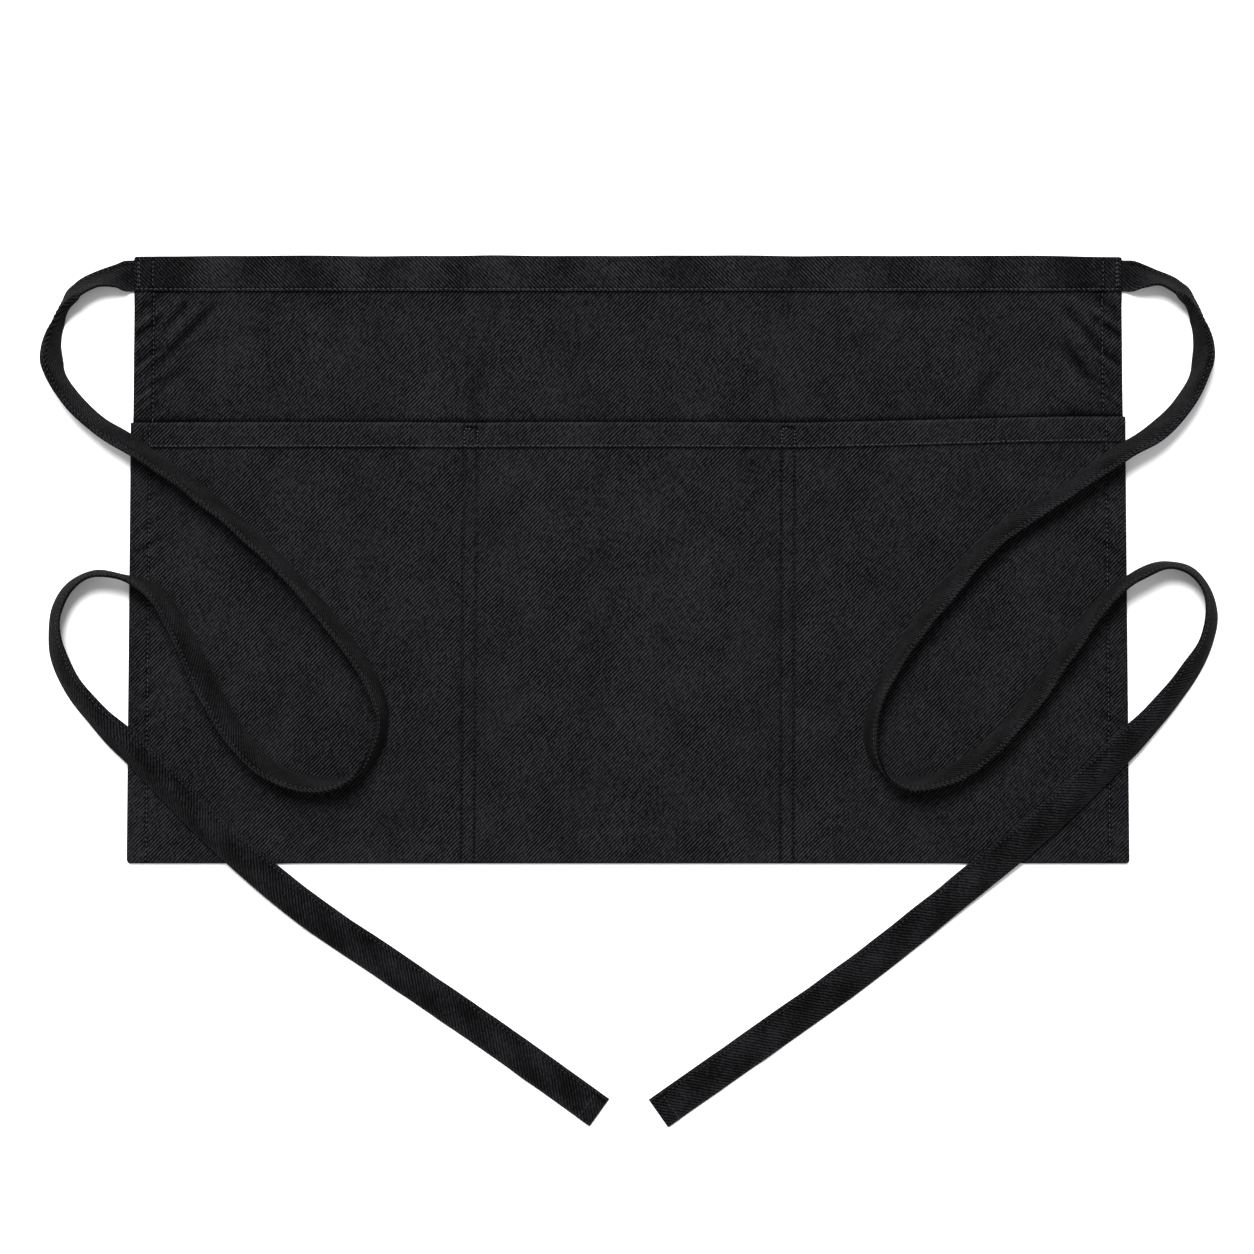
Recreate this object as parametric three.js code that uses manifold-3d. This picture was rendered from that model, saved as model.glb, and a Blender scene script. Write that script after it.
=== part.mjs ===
// Three-pocket waist apron in cotton twill, laid out flat with its two ties thrown in open loops.
// Millimetres, +Z up. The cloth lies on Z = 0, and the origin is the middle of the apron without ties.
import * as THREE from "three";
import { mergeVertices } from "three/addons/utils/BufferGeometryUtils.js";
import Module from "manifold-3d";

const wasm = await Module();
wasm.setup();

// Driving dimensions
const WAIST_WIDTH = 552; // the top edge, from side to side
const HEM_WIDTH = 561; // the bottom edge, over the pocket panel
const APRON_LENGTH = 340; // top fold to bottom edge
const CLOTH = 1; // one layer of cloth
const CLEAR = 0.3; // air between two layers
const BAND_DEPTH = 20; // waistband, top fold to lower edge
const SIDE_HEM = 11; // cloth turned under along each side
const BOTTOM_TURN = 10; // pocket cloth turned under along the bottom edge
const POCKET_DEPTH = 246.5; // bottom edge to mouth
const MOUTH_HEM = 13.5; // double cloth along the mouth
const MOUTH_RISE = 3.4; // how much higher the mouth ends at the right-hand side
const DIVIDER_OFFSET = 89; // middle of the apron to the middle of each stitched divider
const DIVIDER_GAUGE = 7; // between the two rows of stitches of a divider
const POCKET_BULGE = 6; // how far each pocket's cloth stands off the body panel
const TIE_WIDTH = 19;
const TIE_THICKNESS = 2;
const TIE_INSET = 10; // length of tie sewn inside the waistband's end

// Sizes that follow from them
const TOP = APRON_LENGTH / 2;
const BOTTOM = -APRON_LENGTH / 2;
const LAYER = CLOTH + CLEAR;
const BAND_EDGE = TOP - BAND_DEPTH;
const WAIST_HALF = WAIST_WIDTH / 2;
const STEP = CLOTH / 20; // keeps the faces of cloth that is joined on from coinciding
const EASE = SIDE_HEM; // length in which a lifted layer comes down again
const TIE_ROOM = TIE_THICKNESS - CLOTH; // extra height of the waistband where a tie lies in it
const TIE_END_LENGTH = TIE_INSET + 2 * CLOTH; // cut out of the body panel's corners for the ties

// Drag folds that run up towards the waistband beside each side hem. in and down are shares of
// SIDE_HEM, from the side edge and from the waistband's edge; height and spread are shares of CLOTH.
const DRAG_FOLDS = [
  { inLow: 1.3, downLow: 2.0, inHigh: 2.6, downHigh: 0.6, height: 1.5, spread: 5.0 },
  { inLow: 1.2, downLow: 3.5, inHigh: 3.8, downHigh: 1.2, height: 1.8, spread: 6.0 },
  { inLow: 1.6, downLow: 5.6, inHigh: 4.4, downHigh: 3.6, height: 1.0, spread: 6.5 },
];

// The lie of each tie. out and down: from where the tie leaves the waistband's end, away from the
// apron's middle and towards its bottom edge. rest: height of the lowest edge. far and near: slope
// in degrees of the strip on either side of its crease, far being the side that starts lower.
// crease: its place across the strip. Above 90 degrees the strip has rolled over.
const RIGHT_TIE = [
  { out: -9, down: 0.5, rest: 1.3, far: 0, near: 0, crease: 0.5 },
  { out: 2, down: 1.5, rest: 1.3, far: 0, near: 0, crease: 0.5 },
  { out: 11, down: 2, rest: 0.9, far: -34, near: -34, crease: 0.5 },
  { out: 22, down: 4, rest: 0.5, far: -57, near: -57, crease: 0.5 },
  { out: 31, down: 9, rest: 0.3, far: -40, near: -72, crease: 0.15 },
  { out: 39, down: 17, rest: 0.3, far: 62, near: -76, crease: 0.3 },
  { out: 44, down: 26.5, rest: 0.3, far: 58, near: -70, crease: 0.52 },
  { out: 47, down: 40, rest: 0.3, far: 60, near: -50, crease: 0.75 },
  { out: 44, down: 57, rest: 0.5, far: 56, near: 20, crease: 0.85 },
  { out: 35, down: 74, rest: 1.2, far: 50, near: 44, crease: 0.8 },
  { out: 19, down: 90, rest: 3, far: 48, near: 48, crease: 0.5 },
  { out: 2, down: 100, rest: 5.2, far: 50, near: 50, crease: 0.5 },
  { out: -34, down: 124, rest: 7.3, far: 59, near: 59, crease: 0.5 },
  { out: -68, down: 145, rest: 9, far: 55, near: 55, crease: 0.5 },
  { out: -103, down: 183, rest: 9, far: 56, near: 56, crease: 0.5 },
  { out: -124, down: 212, rest: 8.5, far: 65, near: 65, crease: 0.5 },
  { out: -137, down: 237, rest: 8, far: 68, near: 68, crease: 0.5 },
  { out: -141.5, down: 257, rest: 7.3, far: 71, near: 71, crease: 0.5 },
  { out: -139, down: 270, rest: 7, far: 77, near: 77, crease: 0.5 },
  { out: -132, down: 280.5, rest: 6.6, far: 93, near: 93, crease: 0.5 },
  { out: -120, down: 285, rest: 6.7, far: 112, near: 112, crease: 0.5 },
  { out: -105, down: 283, rest: 6.9, far: 118, near: 118, crease: 0.5 },
  { out: -84, down: 272.5, rest: 7.5, far: 122, near: 122, crease: 0.5 },
  { out: -56, down: 244, rest: 8.1, far: 120, near: 120, crease: 0.5 },
  { out: -29, down: 207, rest: 6.9, far: 118, near: 118, crease: 0.5 },
  { out: -9, down: 181.5, rest: 5, far: 113, near: 113, crease: 0.5 },
  { out: 6, down: 170, rest: 5.2, far: 103, near: 103, crease: 0.5 },
  { out: 24.5, down: 163, rest: 2.2, far: 96, near: 96, crease: 0.5 },
  { out: 38, down: 166.5, rest: 0.4, far: 101, near: 101, crease: 0.5 },
  { out: 47, down: 176, rest: 0.3, far: 104, near: 205, crease: 0.82 },
  { out: 51, down: 189.5, rest: 0.3, far: 110, near: 244, crease: 0.58 },
  { out: 47.5, down: 206, rest: 0.3, far: 122, near: 238, crease: 0.44 },
  { out: 38, down: 223, rest: 0.5, far: 136, near: 224, crease: 0.4 },
  { out: 22, down: 243, rest: 3, far: 146, near: 214, crease: 0.42 },
  { out: -3, down: 269, rest: 5.2, far: 152, near: 208, crease: 0.45 },
  { out: -45, down: 307.5, rest: 6.2, far: 158, near: 202, crease: 0.5 },
  { out: -90, down: 345, rest: 3, far: 164, near: 196, crease: 0.5 },
  { out: -146, down: 390, rest: 0.2, far: 172, near: 186, crease: 0.5 },
  { out: -202, down: 430, rest: 0.2, far: 180, near: 180, crease: 0.5 },
  { out: -259, down: 470, rest: 0.2, far: 180, near: 180, crease: 0.5 },
];
const LEFT_TIE = [
  { out: -9, down: 0.5, rest: 1.3, far: 0, near: 0, crease: 0.5 },
  { out: 2, down: 1.5, rest: 1.3, far: 0, near: 0, crease: 0.5 },
  { out: 10, down: 2, rest: 0.9, far: -38, near: -38, crease: 0.5 },
  { out: 21.5, down: 4.5, rest: 0.5, far: -53, near: -53, crease: 0.5 },
  { out: 31, down: 10, rest: 0.3, far: -40, near: -70, crease: 0.15 },
  { out: 38.5, down: 18, rest: 0.3, far: 62, near: -77, crease: 0.3 },
  { out: 44.5, down: 28, rest: 0.3, far: 60, near: -72, crease: 0.52 },
  { out: 47.5, down: 41, rest: 0.3, far: 60, near: -52, crease: 0.75 },
  { out: 45.5, down: 55, rest: 0.5, far: 57, near: 20, crease: 0.85 },
  { out: 37, down: 69.5, rest: 1.2, far: 51, near: 46, crease: 0.8 },
  { out: 21, down: 85, rest: 3, far: 47, near: 47, crease: 0.5 },
  { out: 2.5, down: 96.5, rest: 5.4, far: 49, near: 49, crease: 0.5 },
  { out: -30.5, down: 119, rest: 7.1, far: 57, near: 57, crease: 0.5 },
  { out: -64, down: 145.5, rest: 9, far: 62, near: 62, crease: 0.5 },
  { out: -98, down: 180, rest: 9, far: 63, near: 63, crease: 0.5 },
  { out: -121.5, down: 209.5, rest: 8.5, far: 62, near: 62, crease: 0.5 },
  { out: -135, down: 232, rest: 8, far: 65, near: 65, crease: 0.5 },
  { out: -139.5, down: 249, rest: 7.5, far: 68, near: 68, crease: 0.5 },
  { out: -136, down: 265, rest: 7.2, far: 71, near: 71, crease: 0.5 },
  { out: -127, down: 278.5, rest: 6.8, far: 88, near: 88, crease: 0.5 },
  { out: -115, down: 284.5, rest: 6.7, far: 107, near: 107, crease: 0.5 },
  { out: -98, down: 285, rest: 6.8, far: 117, near: 117, crease: 0.5 },
  { out: -77, down: 277.5, rest: 7.2, far: 125, near: 125, crease: 0.5 },
  { out: -56, down: 255.5, rest: 7.7, far: 132, near: 132, crease: 0.5 },
  { out: -39, down: 225, rest: 7.8, far: 134, near: 134, crease: 0.5 },
  { out: -24, down: 195, rest: 6.4, far: 129, near: 129, crease: 0.5 },
  { out: -10, down: 176.5, rest: 5, far: 112, near: 112, crease: 0.5 },
  { out: 7.5, down: 169.5, rest: 5.4, far: 98, near: 98, crease: 0.5 },
  { out: 22.5, down: 168.5, rest: 2.4, far: 96, near: 96, crease: 0.5 },
  { out: 35.5, down: 175, rest: 0.4, far: 101, near: 101, crease: 0.5 },
  { out: 45, down: 188.5, rest: 0.3, far: 108, near: 225, crease: 0.7 },
  { out: 46, down: 206, rest: 0.3, far: 120, near: 238, crease: 0.48 },
  { out: 37.5, down: 228.5, rest: 0.6, far: 136, near: 228, crease: 0.42 },
  { out: 22.5, down: 247, rest: 3, far: 148, near: 212, crease: 0.44 },
  { out: -3, down: 271, rest: 5.2, far: 158, near: 202, crease: 0.5 },
  { out: -45, down: 312.5, rest: 6.2, far: 168, near: 192, crease: 0.5 },
  { out: -92, down: 352, rest: 3, far: 174, near: 186, crease: 0.5 },
  { out: -148, down: 391, rest: 0.2, far: 180, near: 180, crease: 0.5 },
  { out: -204, down: 429.5, rest: 0.2, far: 180, near: 180, crease: 0.5 },
  { out: -260, down: 469.5, rest: 0.2, far: 180, near: 180, crease: 0.5 },
];

// Outlines

// Half the apron's width at a height y: it widens evenly from the waist to the hem.
function pocketHalf(y) {
  const down = (TOP - y) / APRON_LENGTH;
  return WAIST_HALF + LAYER + down * (HEM_WIDTH / 2 - WAIST_HALF - LAYER);
}

// The body panel stops one layer inside the pocket cloth that wraps round it.
function bodyHalf(y) {
  return pocketHalf(y) - LAYER;
}

// Smooth step from 0 at a to 1 at b.
function ease(value, a, b) {
  return THREE.MathUtils.smoothstep((value - a) / (b - a), 0, 1);
}

// The pocket's mouth is level, and climbs a little across the right-hand pocket.
function mouthAt(x) {
  const rise = ease(x, DIVIDER_OFFSET, pocketHalf(0));
  return BOTTOM + POCKET_DEPTH + MOUTH_RISE * rise;
}

// Heights of the layers

// 1 where the pocket cloth is wrapped round the body panel, 0 above the mouth.
function inPocketZone(x, y) {
  return 1 - ease(y, mouthAt(x) + CLOTH, mouthAt(x) + SIDE_HEM / 2);
}

// How much a cloth turned under it lifts the body panel, as a share of one layer.
function liftShare(x, y) {
  const fromSide = bodyHalf(y) - Math.abs(x);
  const fromBottom = y - (BOTTOM + LAYER);
  const side = (1 - ease(fromSide, SIDE_HEM, SIDE_HEM + EASE)) * inPocketZone(x, y);
  const bottom = 1 - ease(fromBottom, BOTTOM_TURN, BOTTOM_TURN + EASE);
  const band = ease(y, BAND_EDGE - EASE, BAND_EDGE);
  return Math.max(side, bottom, band);
}

// Height of the diagonal drag folds in the upper corners.
function dragFold(x, y) {
  const inward = bodyHalf(y) - Math.abs(x);
  const below = BAND_EDGE - y;
  let height = 0;
  for (const fold of DRAG_FOLDS) {
    const low = new THREE.Vector2(fold.inLow, fold.downLow).multiplyScalar(SIDE_HEM);
    const high = new THREE.Vector2(fold.inHigh, fold.downHigh).multiplyScalar(SIDE_HEM);
    const along = high.clone().sub(low);
    const from = new THREE.Vector2(inward, below).sub(low);
    const share = from.dot(along) / along.lengthSq();
    const aside = Math.abs(from.cross(along)) / along.length() / (fold.spread * CLOTH);
    const run = ease(share, -0.2, 0.3) * (1 - ease(share, 0.7, 1.2));
    height += fold.height * CLOTH * run * Math.exp(-aside * aside);
  }
  return height * (1 - ease(y, BAND_EDGE - EASE / 2, BAND_EDGE));
}

function bodyUnder(x, y) {
  return LAYER * liftShare(x, y) + dragFold(x, y);
}

// Above the pockets the panel's own side hem lies under it and doubles the cloth.
function bodyTop(x, y) {
  const fromSide = bodyHalf(y) - Math.abs(x);
  const hem = 1 - ease(fromSide, SIDE_HEM - CLOTH, SIDE_HEM + CLOTH);
  return bodyUnder(x, y) + CLOTH + CLOTH * hem * (1 - inPocketZone(x, y));
}

// Share of POCKET_BULGE at a place: full in a pocket's middle, none at its seams.
function bulgeShare(x, y) {
  const inner = DIVIDER_OFFSET - DIVIDER_GAUGE / 2;
  const outer = DIVIDER_OFFSET + DIVIDER_GAUGE / 2;
  const side = bodyHalf(y) - SIDE_HEM;
  const reach = Math.abs(x);
  let across = 1;
  if (reach < inner) across = reach / inner;
  if (reach > outer) across = Math.abs(2 * reach - outer - side) / (side - outer);
  const foot = BOTTOM + BOTTOM_TURN + LAYER;
  const up = THREE.MathUtils.clamp((y - foot) / (mouthAt(x) - foot), 0, 1);
  const crown = 1 - Math.min(across, 1) ** 4;
  return crown * (1 - (1 - up) ** 6);
}

function pocketUnder(x, y) {
  return bodyTop(x, Math.min(y, mouthAt(x) - CLOTH)) + CLEAR + POCKET_BULGE * bulgeShare(x, y);
}

function pocketTop(x, y) {
  const below = mouthAt(x) - y;
  const hem = 1 - ease(below, MOUTH_HEM - CLOTH / 2, MOUTH_HEM + CLOTH / 2);
  return pocketUnder(x, y) + CLOTH + CLOTH * hem;
}

// Solids

function toGeometry(positions, triangles) {
  const geometry = new THREE.BufferGeometry();
  geometry.setAttribute("position", new THREE.Float32BufferAttribute(positions, 3));
  geometry.setIndex(triangles);
  return geometry;
}

// One layer of cloth: a top face and an underside over the same grid, closed round the edge.
// place(i, j) gives [x, y] of a grid point, i across from left to right and j from bottom to top.
function clothSheet(across, upward, place, under, over) {
  const positions = [];
  for (const height of [under, over]) {
    for (let j = 0; j < upward; j++) {
      for (let i = 0; i < across; i++) {
        const [x, y] = place(i, j);
        positions.push(x, y, height(x, y));
      }
    }
  }
  const layerSize = across * upward;
  const triangles = [];
  for (let j = 0; j + 1 < upward; j++) {
    for (let i = 0; i + 1 < across; i++) {
      const a = j * across + i;
      const b = a + 1;
      const c = a + across;
      const d = c + 1;
      triangles.push(a, c, b, b, c, d);
      triangles.push(a + layerSize, b + layerSize, c + layerSize);
      triangles.push(b + layerSize, d + layerSize, c + layerSize);
    }
  }
  const rim = [];
  for (let i = 0; i < across; i++) rim.push(i);
  for (let j = 1; j < upward; j++) rim.push(j * across + across - 1);
  for (let i = across - 2; i >= 0; i--) rim.push((upward - 1) * across + i);
  for (let j = upward - 2; j > 0; j--) rim.push(j * across);
  rim.forEach((a, n) => {
    const b = rim[(n + 1) % rim.length];
    triangles.push(a, b, b + layerSize, a, b + layerSize, a + layerSize);
  });
  return toGeometry(positions, triangles);
}

// A closed loft through rings of equal count, each a list of [x, y, z] that turns anticlockwise
// when seen from the loft's far end.
function loft(rings) {
  const sides = rings[0].length;
  const positions = rings.flat(2);
  const triangles = [];
  for (let r = 0; r + 1 < rings.length; r++) {
    for (let s = 0; s < sides; s++) {
      const a = r * sides + s;
      const b = r * sides + ((s + 1) % sides);
      triangles.push(a, b, b + sides, a, b + sides, a + sides);
    }
  }
  return { positions, triangles, sides, rings: rings.length };
}

// Closes both ends of a loft with the triangles of its own cross-section.
function closedLoft(rings, section) {
  const body = loft(rings);
  const last = (body.rings - 1) * body.sides;
  const caps = THREE.ShapeUtils.triangulateShape(section.map((p) => new THREE.Vector2(...p)), []);
  for (const [a, b, c] of caps) {
    body.triangles.push(a, c, b);
    body.triangles.push(last + a, last + b, last + c);
  }
  return toGeometry(body.positions, body.triangles);
}

function toSolid(geometry) {
  const bare = geometry.clone();
  bare.deleteAttribute("normal");
  bare.deleteAttribute("uv");
  const merged = mergeVertices(bare, 1e-4);
  return new wasm.Manifold(
    new wasm.Mesh({
      numProp: 3,
      vertProperties: new Float32Array(merged.attributes.position.array),
      triVerts: new Uint32Array(merged.index.array),
    }),
  );
}

function fromSolid(solid) {
  const mesh = solid.getMesh();
  return toGeometry(Array.from(mesh.vertProperties), Array.from(mesh.triVerts));
}

// Body panel

// Distances in from the side edge, as shares of SIDE_HEM, at which the panel needs a grid line.
const SIDE_LINES = [0, 0.88, 1.12, 1.5, 2, 2.6, 3.2, 3.8, 4.6, 6];
// Distances below the waistband's edge that the corner folds need, as shares of SIDE_HEM.
const CORNER_LINES = [0, 0.5, 1, 1.6, 2.2, 2.8, 3.4, 4, 4.8, 5.6];

// Grid lines across a panel of half width half, from left to right.
function linesAcross(half, middle) {
  const side = SIDE_LINES.map((share) => half - share * SIDE_HEM);
  return [...side.map((x) => -x), ...middle, ...side.reverse()];
}

function bodyPanel() {
  const bottom = BOTTOM + LAYER;
  const mouth = mouthAt(0);
  const rows = [
    bottom,
    bottom + BOTTOM_TURN,
    bottom + BOTTOM_TURN + EASE / 2,
    bottom + BOTTOM_TURN + EASE,
    THREE.MathUtils.lerp(bottom, mouth, 0.35),
    THREE.MathUtils.lerp(bottom, mouth, 0.7),
    mouth,
    mouth + MOUTH_RISE + CLOTH,
    mouth + MOUTH_RISE + SIDE_HEM / 2,
    ...CORNER_LINES.map((share) => BAND_EDGE - share * SIDE_HEM).reverse(),
    TOP - LAYER - CLEAR,
  ];
  const middle = [-0.66, -0.33, 0, 0.33, 0.66].map((share) => share * (WAIST_HALF - 6 * SIDE_HEM));
  const place = (i, j) => [linesAcross(bodyHalf(rows[j]), middle)[i], rows[j]];
  const across = linesAcross(WAIST_HALF, middle).length;
  let solid = toSolid(clothSheet(across, rows.length, place, bodyUnder, bodyTop));
  for (const side of [-1, 1]) {
    const corner = new THREE.BoxGeometry(2 * TIE_END_LENGTH, 2 * BAND_DEPTH, 2 * BAND_DEPTH);
    corner.translate(side * WAIST_HALF, BAND_EDGE + BAND_DEPTH - CLOTH, 0);
    solid = solid.subtract(toSolid(corner));
  }
  return fromSolid(solid);
}

// Waistband: one strip folded over the panel's top edge, open at both ends for the ties

// Cross-section as [y, z] for a folded height, from the back leaf's lower edge round the fold.
function bandSection(height) {
  const fold = CLOTH; // the fold is rounded over about one layer
  return [
    [BAND_EDGE, 0],
    [TOP - fold, 0],
    [TOP - 0.3 * fold, 0.22 * height],
    [TOP, 0.5 * height],
    [TOP - 0.3 * fold, 0.78 * height],
    [TOP - fold, height],
    [BAND_EDGE, height],
    [BAND_EDGE, height - CLOTH],
    [TOP - CLOTH - 0.4 * fold, height - CLOTH],
    [TOP - CLOTH, 0.5 * height],
    [TOP - CLOTH - 0.4 * fold, CLOTH],
    [BAND_EDGE, CLOTH],
  ];
}

function waistband() {
  const flat = 3 * CLOTH + 2 * CLEAR;
  const stations = [0, TIE_END_LENGTH + CLOTH, TIE_END_LENGTH + EASE / 2, TIE_END_LENGTH + EASE];
  const ends = stations.map((inset) => WAIST_HALF - inset);
  const places = [...ends.map((x) => -x), 0, ...ends.reverse()];
  const rings = places.map((x) => {
    const inset = WAIST_HALF - Math.abs(x);
    const room = 1 - ease(inset, TIE_END_LENGTH + CLOTH, TIE_END_LENGTH + EASE);
    return bandSection(flat + TIE_ROOM * room).map(([y, z]) => [x, y, z]);
  });
  return closedLoft(rings, bandSection(flat));
}

// Pocket panel: the front sheet, stitched down at its sides, dividers and bottom edge, and
// wrapped round the body panel's sides and bottom edge

function pocketPanel() {
  const inner = DIVIDER_OFFSET - DIVIDER_GAUGE / 2;
  const outer = DIVIDER_OFFSET + DIVIDER_GAUGE / 2;
  const shares = [-0.85, -0.6, -0.3, 0, 0.3, 0.6, 0.85];
  const between = (a, b) => shares.map((share) => (a + b) / 2 + (share * (b - a)) / 2);
  const linesAt = (y) => {
    const half = pocketHalf(y);
    const stitch = bodyHalf(y) - SIDE_HEM;
    const left = [-half, -half + LAYER, -stitch, ...between(-stitch, -outer), -outer];
    const right = left.map((x) => -x).reverse();
    return [...left, -inner, ...between(-inner, inner), inner, ...right];
  };
  const hem = [0, MOUTH_HEM - CLOTH / 2, MOUTH_HEM + CLOTH / 2];
  const foot = BOTTOM + LAYER + BOTTOM_TURN;
  const upShares = [0.06, 0.13, 0.22, 0.36, 0.6];
  const low = [BOTTOM, foot, ...upShares.map((share) => foot + share * (POCKET_DEPTH - MOUTH_HEM))];
  const place = (i, j) => {
    if (j < low.length) return [linesAt(low[j])[i], low[j]];
    const below = hem[hem.length - 1 - (j - low.length)];
    const level = BOTTOM + POCKET_DEPTH - below;
    const x = linesAt(level)[i];
    return [x, mouthAt(x) - below];
  };
  const across = linesAt(0).length;
  let solid = toSolid(clothSheet(across, low.length + hem.length, place, pocketUnder, pocketTop));

  // The turned strips: an L section of wall and strip along each side and along the bottom.
  const wall = 2 * LAYER + CLOTH / 2; // reaches half-way into the front sheet
  const turned = (depth, thickness) => [
    [0, 0],
    [depth, 0],
    [depth, thickness],
    [CLOTH, thickness],
    [CLOTH, wall],
    [0, wall],
  ];
  for (const side of [-1, 1]) {
    const mouth = mouthAt(side * pocketHalf(0));
    const section = turned(SIDE_HEM, CLOTH);
    const rings = [BOTTOM + 2 * STEP, mouth - STEP].map((y) =>
      section.map(([inset, z]) => [side * (pocketHalf(y) - STEP - inset), y, z]),
    );
    if (side < 0) rings.reverse();
    solid = solid.add(toSolid(closedLoft(rings, section)));
  }
  const half = pocketHalf(BOTTOM) - CLOTH / 2; // ends inside the side walls
  const section = turned(BOTTOM_TURN, CLOTH - STEP);
  const rings = [-half, half].map((x) => section.map(([inset, z]) => [x, BOTTOM + STEP + inset, z]));
  solid = solid.add(toSolid(closedLoft(rings, section)));
  return fromSolid(solid);
}

// Ties

// Cross-section of the strip as [side, height] from its lowest point up: side runs towards the
// near edge. The far part and the near part slope differently on either side of the crease.
function tieSection({ far, near, crease, rest }, width) {
  const radians = THREE.MathUtils.degToRad;
  const farWay = new THREE.Vector2(Math.cos(radians(far)), Math.sin(radians(far)));
  const nearWay = new THREE.Vector2(Math.cos(radians(near)), Math.sin(radians(near)));
  const fold = farWay.clone().multiplyScalar(crease * width);
  const end = fold.clone().addScaledVector(nearWay, (1 - crease) * width);
  const half = TIE_THICKNESS / 2;
  const square = (way) => new THREE.Vector2(-way.y, way.x).multiplyScalar(half);
  const miter = square(farWay).add(square(nearWay)).setLength(half);
  const slim = 0.35 * TIE_THICKNESS; // the edges are rounded off over this much
  const start = new THREE.Vector2();
  const ring = [
    start,
    start.clone().addScaledVector(farWay, slim).sub(square(farWay)),
    fold.clone().sub(miter),
    end.clone().addScaledVector(nearWay, -slim).sub(square(nearWay)),
    end,
    end.clone().addScaledVector(nearWay, -slim).add(square(nearWay)),
    fold.clone().add(miter),
    start.clone().addScaledVector(farWay, slim).add(square(farWay)),
  ];
  const lowest = Math.min(...ring.map((p) => p.y));
  const sides = ring.map((p) => p.x);
  const middle = (Math.min(...sides) + Math.max(...sides)) / 2;
  return ring.map((p) => [p.x - middle, p.y - lowest + rest]);
}

// A tie laid along its table of places. It is built for the right-hand end and mirrored for the left.
function tie(route, side) {
  const neck = TIE_WIDTH - 2 * CLEAR - CLOTH; // drawn in a little to fit between the band's leaves
  const exit = new THREE.Vector2(WAIST_HALF, TOP - BAND_DEPTH / 2);
  const places = route.map((row) => new THREE.Vector2(exit.x + row.out, exit.y - row.down));
  const rings = route.map((row, n) => {
    const before = places[Math.max(n - 1, 0)];
    const after = places[Math.min(n + 1, places.length - 1)];
    const way = after.clone().sub(before).normalize();
    const width = n < 2 ? neck : TIE_WIDTH;
    return tieSection(row, width).map(([across, z]) => [
      places[n].x - way.y * across,
      places[n].y + way.x * across,
      z,
    ]);
  });
  const body = loft(rings);
  const last = (body.rings - 1) * body.sides;
  for (let s = 1; s + 1 < body.sides; s++) {
    body.triangles.push(0, s + 1, s);
    body.triangles.push(last, last + s, last + s + 1);
  }
  const geometry = toGeometry(body.positions, body.triangles);
  if (side < 0) {
    geometry.scale(-1, 1, 1);
    const index = geometry.index.array;
    for (let n = 0; n < index.length; n += 3) [index[n + 1], index[n + 2]] = [index[n + 2], index[n + 1]];
  }
  return geometry;
}

// The apron

const TWILL = { color: 0x24262b, roughness: 0.95, metalness: 0 };

function piece(name, geometry) {
  const mesh = new THREE.Mesh(geometry, new THREE.MeshStandardMaterial(TWILL));
  mesh.name = name;
  return mesh;
}

const apron = new THREE.Group();
apron.add(
  piece("body_panel", bodyPanel()),
  piece("waistband", waistband()),
  piece("pocket_panel", pocketPanel()),
  piece("tie_left", tie(LEFT_TIE, -1)),
  piece("tie_right", tie(RIGHT_TIE, 1)),
);

export default apron;
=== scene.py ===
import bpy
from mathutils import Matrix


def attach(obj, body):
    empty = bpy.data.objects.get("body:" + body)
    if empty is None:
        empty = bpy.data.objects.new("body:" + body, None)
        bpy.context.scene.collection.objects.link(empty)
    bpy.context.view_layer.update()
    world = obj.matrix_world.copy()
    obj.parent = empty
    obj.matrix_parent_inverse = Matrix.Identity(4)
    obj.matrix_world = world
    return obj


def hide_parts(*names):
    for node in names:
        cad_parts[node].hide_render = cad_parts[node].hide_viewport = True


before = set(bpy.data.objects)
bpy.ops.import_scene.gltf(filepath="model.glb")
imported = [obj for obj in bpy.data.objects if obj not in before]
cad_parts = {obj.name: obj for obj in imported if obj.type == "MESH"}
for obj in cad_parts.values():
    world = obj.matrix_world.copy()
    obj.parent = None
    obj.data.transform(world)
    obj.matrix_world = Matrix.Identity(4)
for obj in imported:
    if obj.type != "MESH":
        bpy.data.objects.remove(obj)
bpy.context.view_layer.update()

import math

import bpy
import numpy as np

# Camera, light and floor
# The apron lies on a pale studio table and is seen from straight above. One wide soft light stands
# towards the top of the picture, and white walls all round lift the shadows.

VIEW_WIDTH = 0.70224
VIEW_HEIGHT = 1.8

camera_data = bpy.data.cameras.new("camera")
camera_data.sensor_width = 36.0
camera_data.lens = 36.0 * VIEW_HEIGHT / VIEW_WIDTH
camera = bpy.data.objects.new("camera", camera_data)
camera.location = (-0.00056, -0.03780, VIEW_HEIGHT)
bpy.context.scene.collection.objects.link(camera)
bpy.context.scene.camera = camera
bpy.context.scene.view_settings.view_transform = "Standard"


def soft_light(name, size, power, place, aim):
    data = bpy.data.lights.new(name, "AREA")
    data.shape = "DISK"
    data.size = size
    data.energy = power
    light = bpy.data.objects.new(name, data)
    light.location = place
    way = [a - p for a, p in zip(aim, place)]
    level = math.hypot(way[0], way[1])
    light.rotation_euler = (math.atan2(level, -way[2]), 0.0, math.atan2(-way[0], way[1]))
    bpy.context.scene.collection.objects.link(light)
    return light


soft_light("key light", 1.4, 235.0, (-0.40, 1.45, 3.2), (0.0, -0.03, 0.0))

walls = bpy.data.worlds.new("white walls")
walls.use_nodes = True
walls.node_tree.nodes["Background"].inputs["Color"].default_value = (1.0, 1.0, 1.0, 1.0)
walls.node_tree.nodes["Background"].inputs["Strength"].default_value = 0.72
bpy.context.scene.world = walls

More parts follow.
